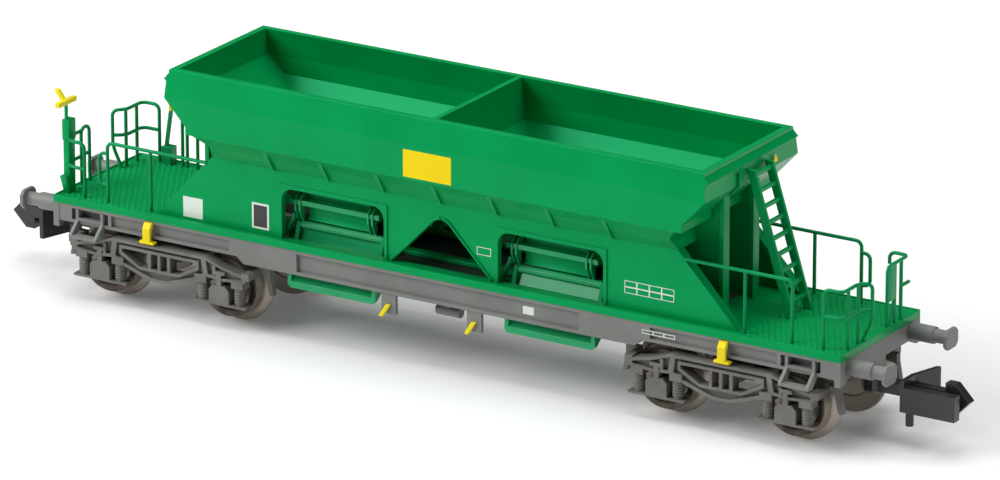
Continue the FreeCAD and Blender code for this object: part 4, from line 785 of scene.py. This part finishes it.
# Brake column: a slim box on the platform at end b, with a thicker head, a foot that flares to the near
# side and the stem of the handle above. It is moulded in the body's plastic and stands in the deck.
COLUMN_BOX = ((-39.28, -5.60, 9.06), (-38.62, -4.66, 13.95))
COLUMN_HEAD = ((-39.34, -5.66, 13.90), (-38.56, -4.60, 15.80))
COLUMN_FOOT = ((-39.28, -6.20, 9.06), (-38.62, -5.56, 10.75))
FOOT_TAPER_SHARES = (1, 0.1, 1)
STEM_PLACE = (38.95, 5.5)
STEM_HEIGHTS = (15.7, 17.2)
COLUMN_ROUNDING = 0.08 * MM
blocks = []
for low, high in (COLUMN_BOX, COLUMN_HEAD, COLUMN_FOOT):
    blocks.append(add_block(Vector(low) * MM, Vector(high) * MM))
bpy.ops.object.mode_set(mode="EDIT")
select_faces(blocks[-1], lambda centre, normal: normal.z < -0.5)
bpy.ops.transform.resize(value=FOOT_TAPER_SHARES,
                         center_override=(0, COLUMN_FOOT[1][1] * MM, COLUMN_FOOT[0][2] * MM))
bpy.ops.object.mode_set(mode="OBJECT")
for piece in blocks:
    soften(piece, COLUMN_ROUNDING)
stem = bent_wire([(*STEM_PLACE, height) for height in STEM_HEIGHTS], -1, -1)
column = finish(join(blocks + [stem]), "slim_brake_column", body_plastic, "wagon")
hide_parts("brake_column")

# Door arms: a pair of bent arms that reach from each door gear's first crank down to the chute's cheek.
# They are round wires of the same plastic as the gear, moulded with it, and carry its paler green of
# painted highlight.
ARM_LINES = (4.35, 4.80)
ARM_BEND = 0.30
ARM_PLACES = ((4.70, 11.20), (4.90, 10.55), (5.45, 9.60), (5.48, 8.96), (4.42, 8.96))
for flank, side in (("near", -1), ("far", 1)):
    for end, hand in (("a", 1), ("b", -1)):
        middle = WINDOW_MIDDLE / MM * hand
        pair = [bent_wire([(middle + side * along, line, height) for along, height in ARM_PLACES], 1, side,
                          bend=ARM_BEND) for line in ARM_LINES]
        finish(join(pair), "door_arms_%s_%s" % (end, flank), chute_plastic, "wagon")

# Brake handle, grip, release levers and rope hooks: the parts that the crew takes hold of, painted a
# bright warm yellow over the plastic, so their edges are full and slightly rounded by the paint.
GRIP_YELLOW = (0.900, 0.740, 0.020)
GRIP_YELLOW_SHADE = (0.840, 0.650, 0.012)
YELLOW_SHEEN = (1.00, 0.92, 0.15)
YELLOW_GLOSS = (0.30, 0.45)
YELLOW_GRAIN = 0.003 * MM
GRIP_ROUNDING = 0.07 * MM
GRIP_STEPS = 3
yellow_paint = moulded("yellow_paint", GRIP_YELLOW, GRIP_YELLOW_SHADE, YELLOW_GLOSS, YELLOW_GRAIN,
                       sheen=YELLOW_SHEEN)
for name in ("brake_handle", "post_grip", "release_levers", "rope_hook_a", "rope_hook_b"):
    dress(name, yellow_paint, GRIP_ROUNDING, steps=GRIP_STEPS)

# Air tank and lever plates: the tank with its strap under the well, and the two plates that carry the
# release levers. They are small mouldings in the frame's grey plastic, clipped under the near solebar.
FITTING_ROUNDING = 0.05 * MM
for name in ("air_tank", "lever_plates"):
    dress(name, solebar_plastic, FITTING_ROUNDING)

# Blank plates on the near side: thin printed fields in yellow, white and black ink on the hopper's wall,
# the side plate and the solebar. Each lies a hair proud of the surface, with a soft edge of ink.
WALL_FACE = 7.85 * MM
PLATE_FACE = 5.9 * MM
SOLEBAR_FACE = 6.75 * MM
PANEL_FACE = 6.45 * MM
YELLOW_FIELD = (-2.58, 2.22, 17.70, 20.15)
WHITE_FIELD = (-26.45, -24.42, 9.25, 11.12)
BORDER_FIELD = (-19.30, -17.55, 9.50, 11.85)
BLACK_FIELD = (-19.11, -17.74, 9.69, 11.66)
SIGN_FIELD = (8.52, 9.61, 6.98, 7.70)
TABLE_FIELD = (18.20, 23.05, 10.50, 11.62)
BOXED_FIELD = (3.59, 4.99, 11.25, 11.96)
STRIP_FIELD = (20.44, 23.65, 7.56, 7.92)
RULED_LINE = 0.06 * MM
INK_DEPTH = 0.02 * MM
INK_SINK = 0.01 * MM
INK_GLOSS = (0.40, 0.52)
INK_GRAIN = 0.001 * MM
INK_CLOUDS = 260.0
INK_GRAIN_SIZE = 14000.0
YELLOW_INK = (0.930, 0.720, 0.006)
YELLOW_INK_SHADE = (0.880, 0.650, 0.004)
WHITE_INK = (0.800, 0.860, 0.800)
WHITE_INK_SHADE = (0.700, 0.780, 0.700)
BLACK_INK = (0.035, 0.033, 0.036)
BLACK_INK_SHADE = (0.026, 0.025, 0.028)


def ink(name, colour, shade, sheen=NO_TINT):
    """A printed ink: the moulded surface with finer grain."""
    return moulded(name, colour, shade, INK_GLOSS, INK_GRAIN, cloud_size=INK_CLOUDS,
                   grain_size=INK_GRAIN_SIZE, sheen=sheen)


yellow_ink = ink("yellow_ink", YELLOW_INK, YELLOW_INK_SHADE, sheen=YELLOW_SHEEN)
white_ink = ink("white_ink", WHITE_INK, WHITE_INK_SHADE)
black_ink = ink("black_ink", BLACK_INK, BLACK_INK_SHADE)


def ease_ink(piece):
    """Eases the edge of a field of ink."""
    edge = piece.modifiers.new("edge", "BEVEL")
    edge.width = INK_DEPTH / 2
    edge.segments = 2
    apply_all(piece)


def printed_field(name, face, field, material, proud=0.0):
    """A field of ink, from left to right and foot to top, on a wall that faces the near side."""
    left, right, foot, top = (place * MM for place in field)
    block = add_block((left, -face - INK_DEPTH - proud, foot), (right, -face + INK_SINK, top))
    ease_ink(block)
    finish(block, name, material, "wagon")


printed_field("yellow_plate", WALL_FACE, YELLOW_FIELD, yellow_ink)
printed_field("white_label", PLATE_FACE, WHITE_FIELD, white_ink)
printed_field("black_panel_border", PLATE_FACE, BORDER_FIELD, white_ink)
printed_field("black_panel", PLATE_FACE, BLACK_FIELD, black_ink, proud=INK_DEPTH / 2)
printed_field("solebar_sign", PANEL_FACE, SIGN_FIELD, white_ink)


def printed_grid(name, face, field, columns, rows):
    """White ruled lines round empty cells: a field whose cells are inset and taken out."""
    left, right, foot, top = (place * MM for place in field)
    deselect()
    bpy.ops.mesh.primitive_grid_add(x_subdivisions=columns, y_subdivisions=rows, size=1,
                                    location=((left + right) / 2, -face - INK_DEPTH, (foot + top) / 2),
                                    rotation=(math.radians(90), 0, 0))
    grid = bpy.context.object
    grid.scale = (right - left, top - foot, 1)
    bpy.ops.object.transform_apply(location=True, rotation=True, scale=True)
    bpy.ops.object.mode_set(mode="EDIT")
    bpy.ops.mesh.select_all(action="SELECT")
    bpy.ops.mesh.inset(thickness=RULED_LINE, depth=0, use_individual=True)
    bpy.ops.mesh.delete(type="FACE")
    bpy.ops.object.mode_set(mode="OBJECT")
    wall = grid.modifiers.new("depth", "SOLIDIFY")
    wall.thickness = INK_DEPTH + INK_SINK
    wall.offset = -1
    apply_all(grid)
    finish(grid, name, white_ink, "wagon")


printed_grid("load_table", PLATE_FACE, TABLE_FIELD, columns=4, rows=2)
printed_grid("boxed_label", PLATE_FACE, BOXED_FIELD, columns=1, rows=1)
printed_grid("solebar_label", SOLEBAR_FACE, STRIP_FIELD, columns=3, rows=1)

# Warning triangle: a small blank yellow sign on the end of the hopper's rim, near its far corner. It is a
# field of ink, printed like those on the side.
SIGN_FACE = 27.2 * MM
SIGN_MIDDLE = (3.67 * MM, 21.2 * MM)
SIGN_RADIUS = 0.50 * MM
deselect()
bpy.ops.mesh.primitive_cylinder_add(vertices=3, radius=SIGN_RADIUS, depth=INK_DEPTH + INK_SINK,
                                    location=(SIGN_FACE + (INK_DEPTH - INK_SINK) / 2, *SIGN_MIDDLE))
sign = bpy.context.object
sign.rotation_euler = (math.radians(90), 0, math.radians(90))
bpy.ops.object.transform_apply(location=True, rotation=True, scale=True)
ease_ink(sign)
finish(sign, "warning_sign", yellow_ink, "wagon")

# Table and light: the wagon stands on a large sheet of white paper. A wide soft lamp stands in front of
# its left end, a weaker one off its right end, and two hang over it, the second one behind it. The room
# beyond the lamps is nearly dark, so the green plastic keeps its depth of colour.
FLOOR_HALF = 4.0
ROOM_LEVEL = 0.04
PAPER_WHITE = (0.86, 0.86, 0.86)
PAPER_ROUGHNESS = 0.75
PAPER_SHINE = 0.2
PAPER_GLOW = 0.10
LAMP_DISTANCE = 0.6
WAGON_MIDDLE = Vector((0, 0, 0.012))
deselect()
bpy.ops.mesh.primitive_plane_add(size=2 * FLOOR_HALF, location=(0, 0, 0))
floor = bpy.context.object
floor.name = "white_sheet"
paper = bpy.data.materials.new("white_paper")
paper.use_nodes = True
paper_shader = paper.node_tree.nodes["Principled BSDF"]
paper_shader.inputs["Base Color"].default_value = (*PAPER_WHITE, 1)
paper_shader.inputs["Roughness"].default_value = PAPER_ROUGHNESS
paper_shader.inputs["Specular IOR Level"].default_value = PAPER_SHINE
paper_shader.inputs["Emission Color"].default_value = (1, 1, 1, 1)
seen = paper.node_tree.nodes.new("ShaderNodeLightPath")
mirrored = paper.node_tree.nodes.new("ShaderNodeMath")
mirrored.operation = "MAXIMUM"
shown = paper.node_tree.nodes.new("ShaderNodeMath")
shown.operation = "MAXIMUM"
lift = paper.node_tree.nodes.new("ShaderNodeMath")
lift.operation = "MULTIPLY"
lift.inputs[1].default_value = PAPER_GLOW
link = paper.node_tree.links.new
link(seen.outputs["Is Glossy Ray"], mirrored.inputs[0])
link(seen.outputs["Is Transmission Ray"], mirrored.inputs[1])
link(seen.outputs["Is Camera Ray"], shown.inputs[0])
link(mirrored.outputs["Value"], shown.inputs[1])
link(shown.outputs["Value"], lift.inputs[0])
link(lift.outputs["Value"], paper_shader.inputs["Emission Strength"])
floor.data.materials.append(paper)

world = bpy.data.worlds.new("studio")
bpy.context.scene.world = world
world.use_nodes = True
room = world.node_tree.nodes["Background"]
room.inputs["Color"].default_value = (1, 1, 1, 1)
room.inputs["Strength"].default_value = ROOM_LEVEL


def softbox(name, turn, rise, width, height, power):
    """A rectangular lamp that faces the wagon, from a bearing and a rise in degrees."""
    lamp = bpy.data.lights.new(name, "AREA")
    lamp.shape = "RECTANGLE"
    lamp.size = width
    lamp.size_y = height
    lamp.energy = power
    stand = bpy.data.objects.new(name, lamp)
    bpy.context.scene.collection.objects.link(stand)
    level = math.cos(math.radians(rise))
    aim = Vector((level * math.cos(math.radians(turn)), level * math.sin(math.radians(turn)),
                  math.sin(math.radians(rise))))
    stand.location = WAGON_MIDDLE + aim * LAMP_DISTANCE
    stand.rotation_euler = aim.to_track_quat("Z", "Y").to_euler()


softbox("key_lamp", turn=-142, rise=35, width=0.50, height=0.35, power=3.4)
softbox("top_lamp", turn=-90, rise=88, width=0.45, height=0.35, power=1.7)
softbox("right_lamp", turn=0, rise=35, width=0.25, height=0.25, power=0.95)
softbox("back_lamp", turn=100, rise=60, width=0.30, height=0.25, power=0.8)

# Camera: a long lens that stands where the photograph was taken from, to the right of the near side and
# above the rim, so that the wagon's lines run nearly parallel.
CAMERA_PLACE = (0.347743, -0.558294, 0.237827)
CAMERA_TURN = math.radians(31.7519)
CAMERA_RISE = math.radians(19.0956)
LENS_LENGTH = 292.03
SENSOR_WIDTH = 36
NEAREST_SEEN = 0.01
view_camera = bpy.data.cameras.new("photo_camera")
view_camera.sensor_fit = "HORIZONTAL"
view_camera.sensor_width = SENSOR_WIDTH
view_camera.lens = LENS_LENGTH
view_camera.clip_start = NEAREST_SEEN
camera = bpy.data.objects.new("photo_camera", view_camera)
bpy.context.scene.collection.objects.link(camera)
camera.location = CAMERA_PLACE
camera.rotation_euler = (math.radians(90) - CAMERA_RISE, 0, CAMERA_TURN)
bpy.context.scene.camera = camera
bpy.context.scene.view_settings.view_transform = "Standard"
